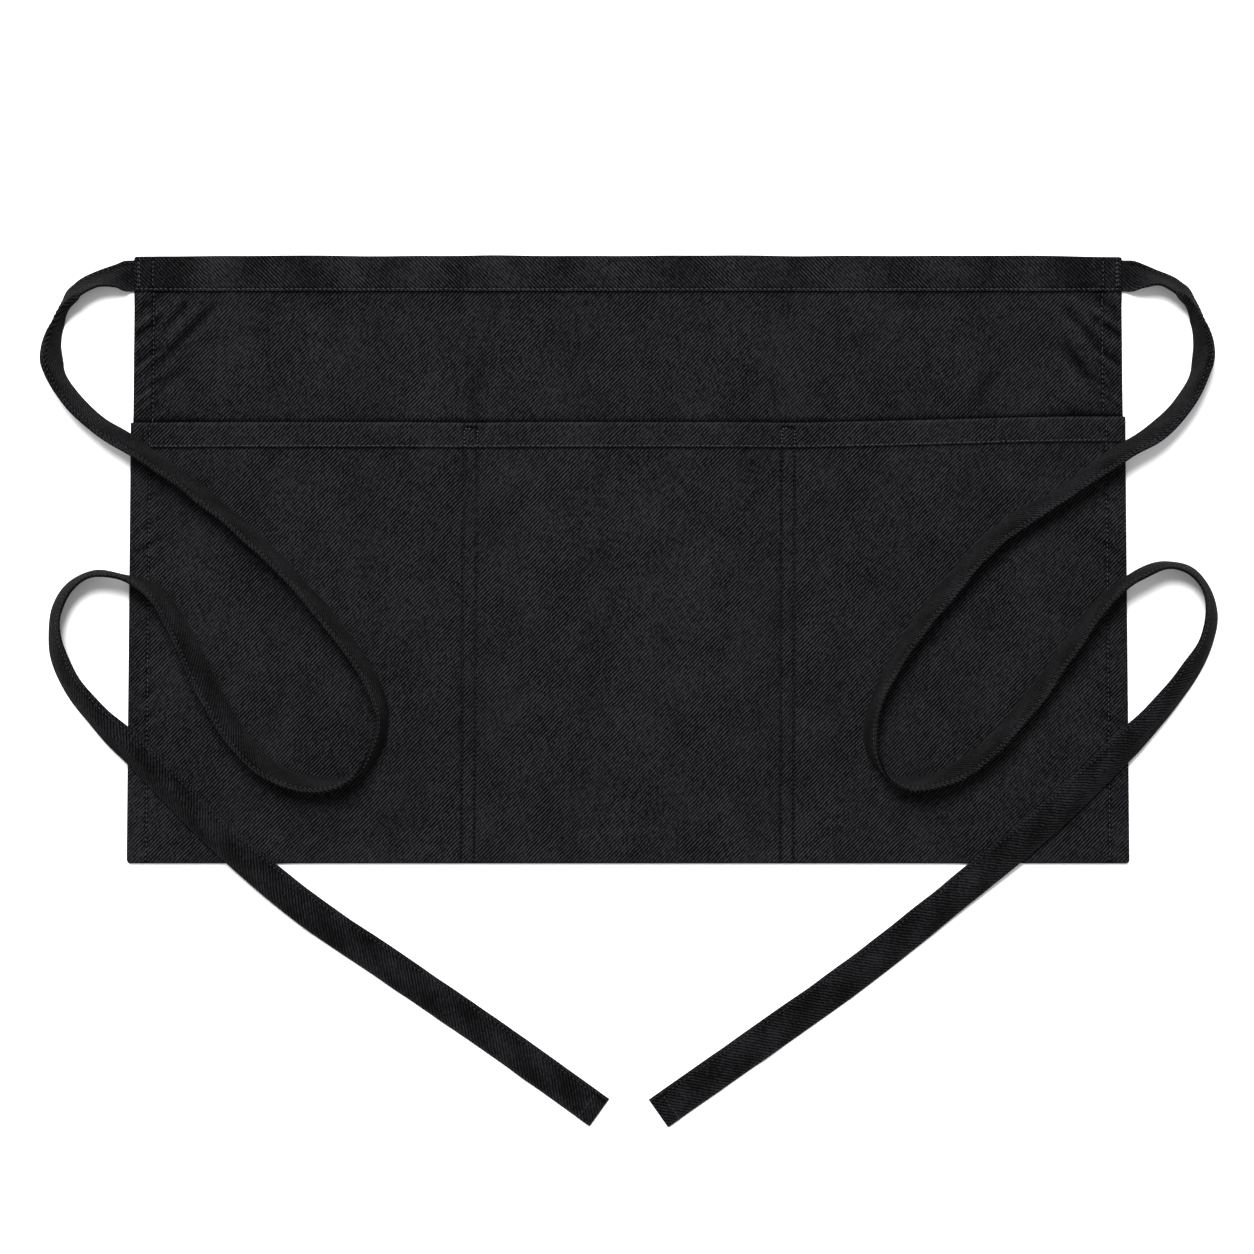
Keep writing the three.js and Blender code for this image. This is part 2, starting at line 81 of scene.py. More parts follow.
table_finish = bpy.data.materials.new("white table")
table_finish.use_nodes = True
table_shader = table_finish.node_tree.nodes["Principled BSDF"]
table_shader.inputs["Base Color"].default_value = (0.86, 0.86, 0.86, 1.0)
table_shader.inputs["Roughness"].default_value = 0.9
table_shader.inputs["Specular IOR Level"].default_value = 0.1

table_mesh = bpy.data.meshes.new("table")
table_mesh.from_pydata([(-4, -4, 0), (4, -4, 0), (4, 4, 0), (-4, 4, 0)], [], [(0, 1, 2, 3)])
table_mesh.materials.append(table_finish)
table_top = bpy.data.objects.new("table", table_mesh)
bpy.context.scene.collection.objects.link(table_top)

# Ties
# Two long flat tapes of the apron's own twill, folded edge to edge and closed with one row of
# stitches, sewn into the ends of the waistband. They are thrown in loops over the pockets.

MM = 0.001
WAIST_HALF = 276.0
TOP = 170.0
BAND_DEPTH = 20.0
TIE_WIDTH = 19.0
TIE_HALF_THICKNESS = 0.85
TIE_SEAM = 2.4
TIE_END_HEM = 9.1
STITCH_PITCH = 2.7
# out and down from where the tie leaves the waistband, height of its lowest edge, slope of the
# part on either side of its crease in degrees, and the crease's place across the tape.
RIGHT_TIE = [
    (-9, 0.5, 1.3, 0, 0, 0.5),
    (2, 1.5, 1.3, 0, 0, 0.5),
    (11, 2, 0.9, -34, -34, 0.5),
    (22, 4, 0.5, -57, -57, 0.5),
    (31, 9, 0.3, -36, -58, 0.15),
    (38, 17, 0.3, 62, -70, 0.24),
    (42.6, 26.5, 0.3, 66, -74, 0.52),
    (45.4, 40, 0.3, 66, -56, 0.75),
    (42.6, 57, 0.5, 64, 30, 0.85),
    (33.2, 74, 1.2, 58, 54, 0.8),
    (17.2, 90, 3, 55, 55, 0.5),
    (0.2, 100, 5.2, 56, 56, 0.5),
    (-35, 124, 7.3, 61, 61, 0.5),
    (-68, 145, 9, 55, 55, 0.5),
    (-103, 183, 9, 56, 56, 0.5),
    (-124, 212, 8.5, 65, 65, 0.5),
    (-137, 237, 8, 68, 68, 0.5),
    (-141.5, 257, 7.3, 71, 71, 0.5),
    (-139, 270, 7, 77, 77, 0.5),
    (-132, 280.5, 6.6, 93, 93, 0.5),
    (-120, 285, 6.7, 112, 112, 0.5),
    (-105, 283, 6.9, 118, 118, 0.5),
    (-84, 272.5, 7.5, 122, 122, 0.5),
    (-56, 244, 8.1, 120, 120, 0.5),
    (-29, 207, 6.9, 118, 118, 0.5),
    (-9, 181.5, 5, 113, 113, 0.5),
    (6, 170, 5.2, 103, 103, 0.5),
    (24.5, 163.3, 2.2, 103, 103, 0.5),
    (38, 167, 0.4, 110, 110, 0.5),
    (46, 176.5, 0.3, 115, 115, 0.5),
    (49.2, 189.5, 0.3, 119, 120, 0.5),
    (46.2, 206, 0.3, 125, 129, 0.5),
    (36.8, 223, 0.5, 128, 143, 0.5),
    (21, 243, 3, 131, 162, 0.5),
    (-4, 269, 5.2, 140, 196, 0.5),
    (-45, 307.5, 6.2, 158, 202, 0.5),
    (-90, 345, 3, 164, 196, 0.5),
    (-146, 390, 0.2, 172, 186, 0.5),
    (-202, 430, 0.2, 180, 180, 0.5),
    (-259, 470, 0.2, 180, 180, 0.5),
]
LEFT_TIE = [
    (-9, 0.5, 1.3, 0, 0, 0.5),
    (2, 1.5, 1.3, 0, 0, 0.5),
    (10, 2, 0.9, -38, -38, 0.5),
    (21.5, 4.5, 0.5, -53, -53, 0.5),
    (31, 10, 0.3, -36, -58, 0.15),
    (37.6, 18, 0.3, 62, -70, 0.22),
    (43, 28, 0.3, 68, -78, 0.52),
    (46, 41, 0.3, 66, -56, 0.75),
    (44, 55, 0.5, 64, 30, 0.85),
    (35.2, 69.5, 1.2, 59, 55, 0.8),
    (19.2, 85, 3, 56, 56, 0.5),
    (0.8, 96.5, 5.4, 57, 57, 0.5),
    (-31.5, 119, 7.1, 60, 60, 0.5),
    (-64, 145.5, 9, 62, 62, 0.5),
    (-98, 180, 9, 63, 63, 0.5),
    (-121.5, 209.5, 8.5, 62, 62, 0.5),
    (-135, 232, 8, 65, 65, 0.5),
    (-139.5, 249, 7.5, 68, 68, 0.5),
    (-136, 265, 7.2, 71, 71, 0.5),
    (-127, 278.5, 6.8, 88, 88, 0.5),
    (-115, 284.5, 6.7, 107, 107, 0.5),
    (-98, 285, 6.8, 117, 117, 0.5),
    (-77, 277.5, 7.2, 125, 125, 0.5),
    (-56, 255.5, 7.7, 132, 132, 0.5),
    (-39, 225, 7.8, 134, 134, 0.5),
    (-24, 195, 6.4, 129, 129, 0.5),
    (-10, 176.5, 5, 112, 112, 0.5),
    (7.5, 169.5, 5.4, 98, 98, 0.5),
    (22.5, 168.4, 2.4, 101, 101, 0.5),
    (34.4, 175, 0.4, 112, 112, 0.5),
    (42.4, 188.5, 0.3, 119, 120, 0.5),
    (43.2, 206, 0.3, 124, 128, 0.5),
    (35, 228.5, 0.6, 128, 143, 0.5),
    (20, 247, 3, 131, 162, 0.5),
    (-5, 271, 5.2, 140, 194, 0.5),
    (-46.5, 312.5, 6.2, 155, 194, 0.5),
    (-92, 352, 3, 174, 186, 0.5),
    (-148, 391, 0.2, 180, 180, 0.5),
    (-204, 429.5, 0.2, 180, 180, 0.5),
    (-260, 469.5, 0.2, 180, 180, 0.5),
]


def ease(value, start, end):
    share = np.clip((value - start) / (end - start), 0.0, 1.0)
    return share * share * (3.0 - 2.0 * share)


# A smooth curve through values at the given stations. A steady one never swings past its values.
def curve_through(values, stations, where, steady):
    step = np.diff(stations)
    rise = np.diff(values) / step
    slope = np.zeros(len(values))
    slope[0], slope[-1] = rise[0], rise[-1]
    if steady:
        slope[0] = slope[-1] = 0.0
        product = rise[:-1] * rise[1:]
        total = rise[:-1] + rise[1:]
        level = product <= 0.0
        slope[1:-1] = np.where(level, 0.0, 2.0 * product / np.where(level, 1.0, total))
    else:
        slope[1:-1] = (rise[:-1] * step[1:] + rise[1:] * step[:-1]) / (step[:-1] + step[1:])
    n = np.clip(np.searchsorted(stations, where, side="right") - 1, 0, len(stations) - 2)
    h = stations[n + 1] - stations[n]
    t = (where - stations[n]) / h
    start = (1 + 2 * t) * (1 - t) ** 2 * values[n] + t * (1 - t) ** 2 * h * slope[n]
    return start + t * t * (3 - 2 * t) * values[n + 1] + t * t * (t - 1) * h * slope[n + 1]


# A piece of cloth from a grid of points. closed joins the last column to the first.
def cloth_mesh(name, grid, finish, closed=False, capped=False, flip=False, uv=None, more_faces=(), tone=1.0):
    rows, columns = grid.shape[:2]
    index = np.arange(rows * columns).reshape(rows, columns)
    if closed:
        index = np.concatenate([index, index[:, :1]], axis=1)
    corners = [index[:-1, :-1], index[:-1, 1:], index[1:, 1:], index[1:, :-1]]
    order = (3, 2, 1, 0) if flip else (0, 1, 2, 3)
    quads = np.stack([corners[n].ravel() for n in order], axis=1)
    faces = quads.tolist()
    if capped:
        ends = [index[0, :-1][::-1].tolist(), index[-1, :-1].tolist()]
        faces += [end[::-1] for end in ends] if flip else ends
    faces += [[index[row, column] for row, column in face] for face in more_faces]
    mesh = bpy.data.meshes.new(name)
    mesh.from_pydata(grid.reshape(-1, 3).tolist(), [], faces)
    if uv is not None:
        spots = [uv[:-1, :-1], uv[:-1, 1:], uv[1:, 1:], uv[1:, :-1]]
        values = np.stack([spots[n].reshape(-1, 2) for n in order], axis=1)
        layer = mesh.uv_layers.new(name="cloth")
        layer.data.foreach_set("uv", values.ravel())
    # tone holds painted light and shade for each point of the grid, kept as the "tone" attribute
    shades = np.ones(grid.shape[:2])
    shades[:, : np.shape(tone)[1] if np.ndim(tone) else columns] = tone
    mesh.attributes.new("tone", "FLOAT", "POINT").data.foreach_set("value", shades.ravel())
    mesh.polygons.foreach_set("use_smooth", np.ones(len(faces), dtype=bool))
    mesh.set_sharp_from_angle(angle=math.radians(55))
    mesh.materials.append(finish)
    mesh.update()
    piece = bpy.data.objects.new(name, mesh)
    bpy.context.scene.collection.objects.link(piece)
    return piece


# Adds a node with its settings and inputs. An input that is a socket is linked, any other is set.
def add_node(tree, kind, inputs=(), **settings):
    node = tree.nodes.new(kind)
    for key, value in settings.items():
        setattr(node, key, value)
    for key, value in dict(inputs).items():
        if isinstance(value, bpy.types.NodeSocket):
            tree.links.new(value, node.inputs[key])
        else:
            node.inputs[key].default_value = value
    return node


def add_math(tree, operation, first, second=0.0, third=0.0):
    inputs = {0: first, 1: second, 2: third}
    return add_node(tree, "ShaderNodeMath", inputs, operation=operation).outputs[0]


# Heavy cotton twill: warp yarns that float over three weft yarns and dive under the fourth, one
# step further on each yarn, so that slanting ridges show. lean turns the ridges' slant round.
YARN = 0.565 * MM


def twill(name, dark, light, lean=1.0, on_tape=False):
    finish = bpy.data.materials.new(name)
    finish.use_nodes = True
    tree = finish.node_tree
    shader = tree.nodes["Principled BSDF"]
    coordinates = add_node(tree, "ShaderNodeTexCoord")
    place = coordinates.outputs["UV" if on_tape else "Object"]
    wander = add_node(
        tree, "ShaderNodeTexNoise", {"Vector": place, "Scale": 160.0, "Detail": 2.0}, noise_dimensions="2D"
    )
    shift = add_node(
        tree, "ShaderNodeVectorMath", {0: wander.outputs["Color"], 1: (0.5, 0.5, 0.5)}, operation="SUBTRACT"
    )
    shift = add_node(
        tree, "ShaderNodeVectorMath", {0: shift.outputs[0], "Scale": 0.75 * MM}, operation="SCALE"
    )
    moved = add_node(tree, "ShaderNodeVectorMath", {0: place, 1: shift.outputs[0]}, operation="ADD")
    split = add_node(tree, "ShaderNodeSeparateXYZ", {0: moved.outputs[0]})
    across = add_math(tree, "DIVIDE", split.outputs[0], YARN)
    along = add_math(tree, "DIVIDE", split.outputs[1], YARN)
    yarn = add_math(tree, "FLOOR", across)
    inside = add_math(tree, "SUBTRACT", add_math(tree, "FRACT", across), 0.5)
    step = add_math(tree, "SUBTRACT", along, add_math(tree, "MULTIPLY", yarn, lean))
    phase = add_math(tree, "FRACT", add_math(tree, "DIVIDE", step, 4.0))
    # a float is 3 of 4 picks long and arched along its length and across its width
    travel = add_math(tree, "DIVIDE", phase, 0.78)
    on_top = add_math(tree, "LESS_THAN", travel, 1.0)
    arch = add_math(tree, "SINE", add_math(tree, "MULTIPLY", travel, math.pi))
    arch = add_math(tree, "MAXIMUM", arch, 0.0)
    crown = add_math(tree, "COSINE", add_math(tree, "MULTIPLY", inside, math.pi * 0.8))
    warp = add_math(tree, "MULTIPLY", add_math(tree, "MULTIPLY", arch, crown), on_top)
    picks = add_math(tree, "SUBTRACT", add_math(tree, "FRACT", along), 0.5)
    weft = add_math(tree, "MULTIPLY", add_math(tree, "COSINE", add_math(tree, "MULTIPLY", picks, math.pi)), 0.25)
    height = add_math(tree, "MAXIMUM", warp, weft)
    # slow changes of shade, as worn and brushed cotton has
    cloud = add_node(
        tree, "ShaderNodeTexNoise", {"Vector": coordinates.outputs["Object"], "Scale": 38.0, "Detail": 5.0,
        "Roughness": 0.62},
    )
    speck = add_node(
        tree, "ShaderNodeTexNoise", {"Vector": coordinates.outputs["Object"], "Scale": 640.0, "Detail": 2.0}
    )
    shade = add_math(tree, "MULTIPLY_ADD", cloud.outputs["Fac"], 0.46, -0.23)
    shade = add_math(tree, "MULTIPLY_ADD", speck.outputs["Fac"], 0.6, add_math(tree, "SUBTRACT", shade, 0.30))
    float_number = add_math(tree, "FLOOR", add_math(tree, "DIVIDE", step, 4.0))
    spot = add_node(tree, "ShaderNodeCombineXYZ", {0: yarn, 1: float_number})
    chance = add_node(tree, "ShaderNodeTexWhiteNoise", {"Vector": spot.outputs[0]}, noise_dimensions="2D")
    uneven = add_math(tree, "MULTIPLY_ADD", chance.outputs["Value"], 0.7, 0.65)
    tone = add_math(tree, "ADD", add_math(tree, "MULTIPLY", height, uneven), shade)
    # the "tone" attribute multiplies in painted light and shade: painted highlights on folds and ridges, painted shade
    # in seams, creases and at the foot of the layers sewn over others; on the ties it also holds an uneven mottle
    painted_shading = add_node(tree, "ShaderNodeAttribute", attribute_name="tone")
    tone = add_math(tree, "MULTIPLY", tone, painted_shading.outputs["Fac"])
    ramp = add_node(tree, "ShaderNodeValToRGB", {"Fac": tone})
    ramp.color_ramp.elements[0].color = (*dark, 1.0)
    ramp.color_ramp.elements[1].color = (*light, 1.0)
    ramp.color_ramp.elements[0].position = 0.16
    tree.links.new(ramp.outputs["Color"], shader.inputs["Base Color"])
    bump = add_node(
        tree, "ShaderNodeBump", {"Height": height, "Strength": 1.0, "Distance": 0.5 * MM}
    )
    tree.links.new(bump.outputs["Normal"], shader.inputs["Normal"])
    shader.inputs["Roughness"].default_value = 0.92
    shader.inputs["Specular IOR Level"].default_value = 0.03
    shader.inputs["Sheen Weight"].default_value = 0.008
    shader.inputs["Sheen Roughness"].default_value = 0.5
    return finish


def thread(name, dark, light):
    finish = bpy.data.materials.new(name)
    finish.use_nodes = True
    tree = finish.node_tree
    noise = add_node(tree, "ShaderNodeTexNoise", {"Scale": 900.0, "Detail": 1.0})
    ramp = add_node(tree, "ShaderNodeValToRGB", {"Fac": noise.outputs["Fac"]})
    ramp.color_ramp.elements[0].color = (*dark, 1.0)
    ramp.color_ramp.elements[1].color = (*light, 1.0)
    shader = tree.nodes["Principled BSDF"]
    tree.links.new(ramp.outputs["Color"], shader.inputs["Base Color"])
    shader.inputs["Roughness"].default_value = 0.6
    shader.inputs["Specular IOR Level"].default_value = 0.15
    return finish


light_thread = thread("light thread", (0.012, 0.012, 0.013), (0.050, 0.051, 0.055))
tie_thread = thread("tie thread", (0.008, 0.008, 0.009), (0.032, 0.033, 0.036))
dark_thread = thread("dark thread", (0.001, 0.001, 0.001), (0.009, 0.009, 0.010))

dice = np.random.default_rng(5)


def unit(vectors):
    return vectors / np.maximum(np.linalg.norm(vectors, axis=-1, keepdims=True), 1e-9)


# Rows of lockstitch: each stitch is a short thread that arches over the cloth and dives at both
# ends. centres, ways and normals hold one line for each stitch, in metres.
def stitches(name, centres, ways, normals, length=1.75, thick=0.5, finish=None):
    centres, ways, normals = (np.asarray(v, dtype=float) for v in (centres, ways, normals))
    count = len(centres)
    ways = unit(ways)
    asides = unit(np.cross(normals, ways))
    normals = np.cross(ways, asides)
    lengths = length * MM * (1.0 + 0.06 * dice.standard_normal(count))
    centres = centres + ways * (0.10 * MM * dice.standard_normal(count))[:, None]
    centres = centres + asides * (0.07 * MM * dice.standard_normal(count))[:, None]
    travel = np.array([-1.0, -0.62, 0.0, 0.62, 1.0])
    girth = np.array([0.35, 0.9, 1.0, 0.9, 0.35]) * thick / 2 * MM
    rise = (1.0 - travel**2) * 0.3 * MM - 0.12 * MM
    turns = np.arange(5) * (2 * math.pi / 5)
    points = np.empty((count, 5, 5, 3))
    for n in range(5):
        heart = centres + ways * (travel[n] * lengths / 2)[:, None] + normals * rise[n]
        for k, turn in enumerate(turns):
            points[:, n, k] = heart + girth[n] * (math.cos(turn) * asides + math.sin(turn) * normals)
    faces = []
    for n in range(4):
        for k in range(5):
            m = (k + 1) % 5
            faces.append((n * 5 + k, n * 5 + m, n * 5 + 5 + m, n * 5 + 5 + k))
    faces = np.array(faces)[None] + (np.arange(count) * 25)[:, None, None]
    ends = np.array([[4, 3, 2, 1, 0], [20, 21, 22, 23, 24]])[None] + (np.arange(count) * 25)[:, None, None]
    mesh = bpy.data.meshes.new(name)
    mesh.from_pydata(points.reshape(-1, 3).tolist(), [], faces.reshape(-1, 4).tolist() + ends.reshape(-1, 5).tolist())
    mesh.polygons.foreach_set("use_smooth", np.ones(len(mesh.polygons), dtype=bool))
    mesh.materials.append(finish or light_thread)
    piece = bpy.data.objects.new(name, mesh)
    bpy.context.scene.collection.objects.link(piece)
    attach(piece, "root")
    return piece


# the tapes get a darker copy of the apron's twill colours: painted shade that offsets the light falling on their
# tilted faces
TIE_SHADED_DARK, TIE_SHADED_LIGHT = (0.0003, 0.0003, 0.0004), (0.0165, 0.0166, 0.0184)
tie_twill = twill("tie twill", TIE_SHADED_DARK, TIE_SHADED_LIGHT, lean=-1.0, on_tape=True)


def tie(name, table, side):
    table = np.array(table, dtype=float)
    x, y = WAIST_HALF + table[:, 0], TOP - BAND_DEPTH / 2 - table[:, 1]
    stations = np.concatenate([[0.0], np.cumsum(np.hypot(np.diff(x), np.diff(y)))])
    fine = np.linspace(0.0, stations[-1], 6000)
    fine_x, fine_y = (curve_through(v, stations, fine, False) for v in (x, y))
    travelled = np.concatenate([[0.0], np.cumsum(np.hypot(np.diff(fine_x), np.diff(fine_y)))])
    steps = int(round(travelled[-1] / (STITCH_PITCH / 2) / 2)) * 2
    run = np.linspace(0.0, travelled[-1], steps + 1)
    where = np.interp(run, travelled, fine)
    px, py = np.interp(where, fine, fine_x), np.interp(where, fine, fine_y)
    rest, far, near, crease = (
        curve_through(table[:, n], stations, where, True) for n in (2, 3, 4, 5)
    )
    # the tape is never quite even: it rocks and lifts a little along its length
    loose = ease(run, 18.0, 60.0) * (1.0 - ease(run, travelled[-1] - 60.0, travelled[-1]))
    rock = 1.6 * np.sin(run / 7.9 + 1.3 * side) + 1.3 * np.sin(run / 4.7 + side) + np.sin(run / 13.1)
    far, near = far + loose * rock, near + loose * rock
    width = TIE_WIDTH - 1.6 * (1.0 - ease(run, 9.0, 20.0))

    across = np.array([0, 0.12, 0.4, 0.9, *np.arange(1.7, 15.4, 0.95), 15.9, 16.6, 17.3, 18.1, 18.6, 18.88, 19])
    share = across / TIE_WIDTH
    middle = (share[:-1] + share[1:]) / 2
    def slope_at(share):
        fold = ease(share[None, :], crease[:, None] - 0.055, crease[:, None] + 0.055)
        slope = np.radians(far[:, None] + (near - far)[:, None] * fold)
        # a tilted tape sags a little: steeper at its foot, flatter at its raised edge
        even = 1.0 - ease(abs(near - far), 20.0, 60.0)[:, None]
        return slope - 0.62 * np.sin(2 * slope) * (share[None, :] ** 2 - 0.45) * even

    slope = slope_at(middle)
    pace = np.diff(share)[None, :] * width[:, None]
    start = np.zeros((len(run), 1))
    level = np.concatenate([start, np.cumsum(np.cos(slope) * pace, axis=1)], axis=1)
    height = np.concatenate([start, np.cumsum(np.sin(slope) * pace, axis=1)], axis=1)
    slope = slope_at(share)

    from_edge = np.minimum(across, TIE_WIDTH - across)
    half = TIE_HALF_THICKNESS * np.sqrt(1.0 - np.clip(1.0 - from_edge / 0.9, 0.0, 1.0) ** 2)
    from_seam = across - (TIE_WIDTH - TIE_SEAM)
    hole = 0.55 + 0.45 * np.cos(run * 2 * math.pi / STITCH_PITCH)
    groove = 0.42 * np.exp(-((from_seam / 0.75) ** 2))
    half = half[None, :] * (1.0 - groove[None, :] * hole[:, None])
    to_end = travelled[-1] - run
    hem = 0.45 * (1.0 - ease(to_end, TIE_END_HEM - 0.7, TIE_END_HEM + 0.7))
    hem_edge = np.sqrt(1.0 - np.clip(1.0 - to_end / 1.3, 0.0, 0.85) ** 2)
    half = (half * (1.0 + hem)[:, None]) * hem_edge[:, None]
    level_top, height_top = level - np.sin(slope) * half, height + np.cos(slope) * half
    level_low, height_low = level + np.sin(slope) * half, height - np.cos(slope) * half
    sides = np.concatenate([level_top, level_low], axis=1)
    tall = np.concatenate([height_top, height_low], axis=1)
    centre = (sides.min(axis=1) + sides.max(axis=1)) / 2
    lowest = tall.min(axis=1)

    way_x, way_y = np.gradient(px, run), np.gradient(py, run)
    norm = np.hypot(way_x, way_y)
    way_x, way_y = way_x / norm, way_y / norm

    def in_space(level_at, height_at):
        off = level_at - centre[:, None]
        up = height_at - lowest[:, None] + rest[:, None]
        spots = np.stack([side * (px[:, None] - way_y[:, None] * off), py[:, None] + way_x[:, None] * off, up], axis=2)
        return spots * MM

    top = in_space(level_top, height_top)
    low = in_space(level_low, height_low)
    grid = np.concatenate([top, low[:, -2:0:-1]], axis=1)
    around = np.concatenate([across, (2 * TIE_WIDTH - across)[-2:0:-1], [2 * TIE_WIDTH]]) * MM
    uv = np.empty((len(run), len(around), 2))
    uv[..., 0] = (side * run * MM)[:, None]
    uv[..., 1] = around[None, :]
    # painted light and shade on the tape: a painted highlight just inside each folded edge, painted shade on the edge
    # itself and along the stitched seam, and an uneven mottle along the tape
    edge_light_shade_and_mottle = 0.95 + 0.9 * np.exp(-(((from_edge - 0.9) / 0.5) ** 2)) - 0.5 * np.exp(-((from_edge / 0.3) ** 2))
    edge_light_shade_and_mottle = edge_light_shade_and_mottle - 0.5 * np.exp(-((from_seam / 0.6) ** 2))
    rubbed = 0.16 * np.sin(run[:, None] / 5.3 + across / 3) + 0.16 * np.sin(run[:, None] / 11.7 - across / 5)
    edge_light_shade_and_mottle = edge_light_shade_and_mottle + rubbed
    edge_light_shade_and_mottle = np.concatenate([edge_light_shade_and_mottle, edge_light_shade_and_mottle[:, -2:0:-1]], axis=1)
    tape = cloth_mesh(name + "_tape", grid, tie_twill, closed=True, flip=side > 0, uv=uv, tone=edge_light_shade_and_mottle)
    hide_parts(name)
    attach(tape, "root")

    # the row of stitches along the near edge, seen on both faces, and the end hem's short row
    seam = int(np.argmin(abs(from_seam)))
    line = in_space(level, height)
    heading = unit(np.gradient(line[:, seam], axis=0))
    over = unit(top[:, seam] - low[:, seam])
    middle_rows = np.arange(17, steps - 7, 2)
    centres = np.concatenate([top[middle_rows, seam], low[middle_rows, seam]])
    ways = np.concatenate([heading[middle_rows]] * 2)
    normals = np.concatenate([over[middle_rows], -over[middle_rows]])
    end_row = int(np.argmin(abs(to_end - TIE_END_HEM + 0.9)))
    spots = np.arange(1.6, TIE_WIDTH - 0.6, STITCH_PITCH)
    end_top = np.stack([np.interp(spots, across, top[end_row, :, n]) for n in range(3)], axis=1)
    end_low = np.stack([np.interp(spots, across, low[end_row, :, n]) for n in range(3)], axis=1)
    end_way = unit(top[end_row, -3] - top[end_row, 2])
    centres = np.concatenate([centres, end_top, end_low])
    ways = np.concatenate([ways, np.repeat(end_way[None], 2 * len(spots), axis=0)])
    normals = np.concatenate([normals, unit(end_top - end_low), unit(end_low - end_top)])
    row = stitches(name + "_stitches", centres, ways, normals, thick=0.42, finish=tie_thread)

    print(name, "length", round(travelled[-1] / 1000, 4))
    return tape


right_tie = tie("tie_right", RIGHT_TIE, 1)
left_tie = tie("tie_left", LEFT_TIE, -1)

# Body panel
# The apron's flat back cloth of heavy cotton twill. Each side edge is turned to the back and sewn
# down with one row of stitches. The waistband draws slanting folds into its upper corners.

BOTTOM = -170.0
HEM_HALF = 280.5
CLOTH = 1.0
CLEAR = 0.3
LAYER = CLOTH + CLEAR
SIDE_HEM = 11.0
BOTTOM_TURN = 10.0
BAND_EDGE = TOP - BAND_DEPTH
POCKET_DEPTH = 246.5
MOUTH_RISE = 3.4
DIVIDER_OFFSET = 89.0
# each drag fold's low and high end, inward from the side and down from the band in shares of the
# side hem, then its height and its spread
DRAG_FOLDS = [
    (1.3, 2.0, 2.6, 0.6, 1.5, 5.0),
    (1.2, 3.5, 3.8, 1.2, 1.8, 6.0),
    (1.6, 5.6, 4.4, 3.6, 1.0, 6.5),
]


# sharper creases: from x, y to x, y, then depth and half width
CREASES = [
    (-262, 125.7, -247, 143.6, 0.85, 2.2),
    (-263, 110, -231, 143.6, 1.1, 2.7),
    (-265, 95, -248, 108, 0.8, 3.0),
    (264, 120, 243, 143.6, 0.9, 2.6),
    (261.5, 98, 245, 120, 1.1, 3.2),
    (205.5, 109, 194, 86.5, 0.55, 4.4),
    (-81, 114.5, -88, 81, 0.45, 4.6),
]


def pocket_half(y):
    return WAIST_HALF + LAYER + (TOP - y) / (TOP - BOTTOM) * (HEM_HALF - WAIST_HALF - LAYER)


def body_half(y):
    return pocket_half(y) - LAYER


def mouth_at(x):
    return BOTTOM + POCKET_DEPTH + MOUTH_RISE * ease(x, DIVIDER_OFFSET, pocket_half(0.0))


# 1 where the pocket panel is wrapped round the body panel, 0 above the pockets.
def wrapped(x, y):
    return 1.0 - ease(y, mouth_at(x) + CLOTH, mouth_at(x) + SIDE_HEM / 2)


# A pattern of soft waves in every direction, between about -1 and 1.
def waves(x, y, length, seed, count=14):
    roll = np.random.default_rng(seed)
    total = np.zeros(np.broadcast(x, y).shape)
    for _ in range(count):
        turn, lag = roll.uniform(0.0, 2 * math.pi, 2)
        size = length * roll.uniform(0.6, 1.7)
        total += np.sin((x * math.cos(turn) + y * math.sin(turn)) * 2 * math.pi / size + lag)
    return total / math.sqrt(count / 2) / 1.6


# Puckers that the sewing thread draws into the cloth along a seam.
def puckers(along, aside, seed, length=6.5, reach=5.0):
    roll = np.random.default_rng(seed)
    total = 0.0
    for _ in range(6):
        size, lag = length * roll.uniform(0.55, 1.8), roll.uniform(0.0, 2 * math.pi)
        total = total + np.sin(along * 2 * math.pi / size + lag)
    return total / 2.4 * np.exp(-np.abs(aside) / reach)


def drag_folds(x, y):
    inward, below = body_half(y) - np.abs(x), BAND_EDGE - y
    height = 0.0
    for low_in, low_down, high_in, high_down, tall, spread in DRAG_FOLDS:
        way = np.array([high_in - low_in, high_down - low_down]) * SIDE_HEM
        long = math.hypot(*way)
        off_in, off_down = inward - low_in * SIDE_HEM, below - low_down * SIDE_HEM
        share = (off_in * way[0] + off_down * way[1]) / long**2
        aside = (off_in * way[1] - off_down * way[0]) / long / spread
        run = ease(share, -0.2, 0.3) * (1.0 - ease(share, 0.7, 1.2))
        height = height + tall * run * np.exp(-(aside**2))
    return height * (1.0 - ease(y, BAND_EDGE - SIDE_HEM / 2, BAND_EDGE))


def body_under(x, y):
    from_side = body_half(y) - np.abs(x)
    side = (1.0 - ease(from_side, SIDE_HEM, 2 * SIDE_HEM)) * wrapped(x, y)
    bottom = 1.0 - ease(y - BOTTOM - LAYER, BOTTOM_TURN, BOTTOM_TURN + SIDE_HEM)
    band = ease(y, BAND_EDGE - SIDE_HEM, BAND_EDGE)
    return LAYER * np.maximum(np.maximum(side, bottom), band) + drag_folds(x, y)


def body_top(x, y):
    from_side = body_half(y) - np.abs(x)
    hem = 1.0 - ease(from_side, SIDE_HEM - CLOTH, SIDE_HEM + CLOTH)
    return body_under(x, y) + CLOTH + CLOTH * hem * (1.0 - wrapped(x, y))


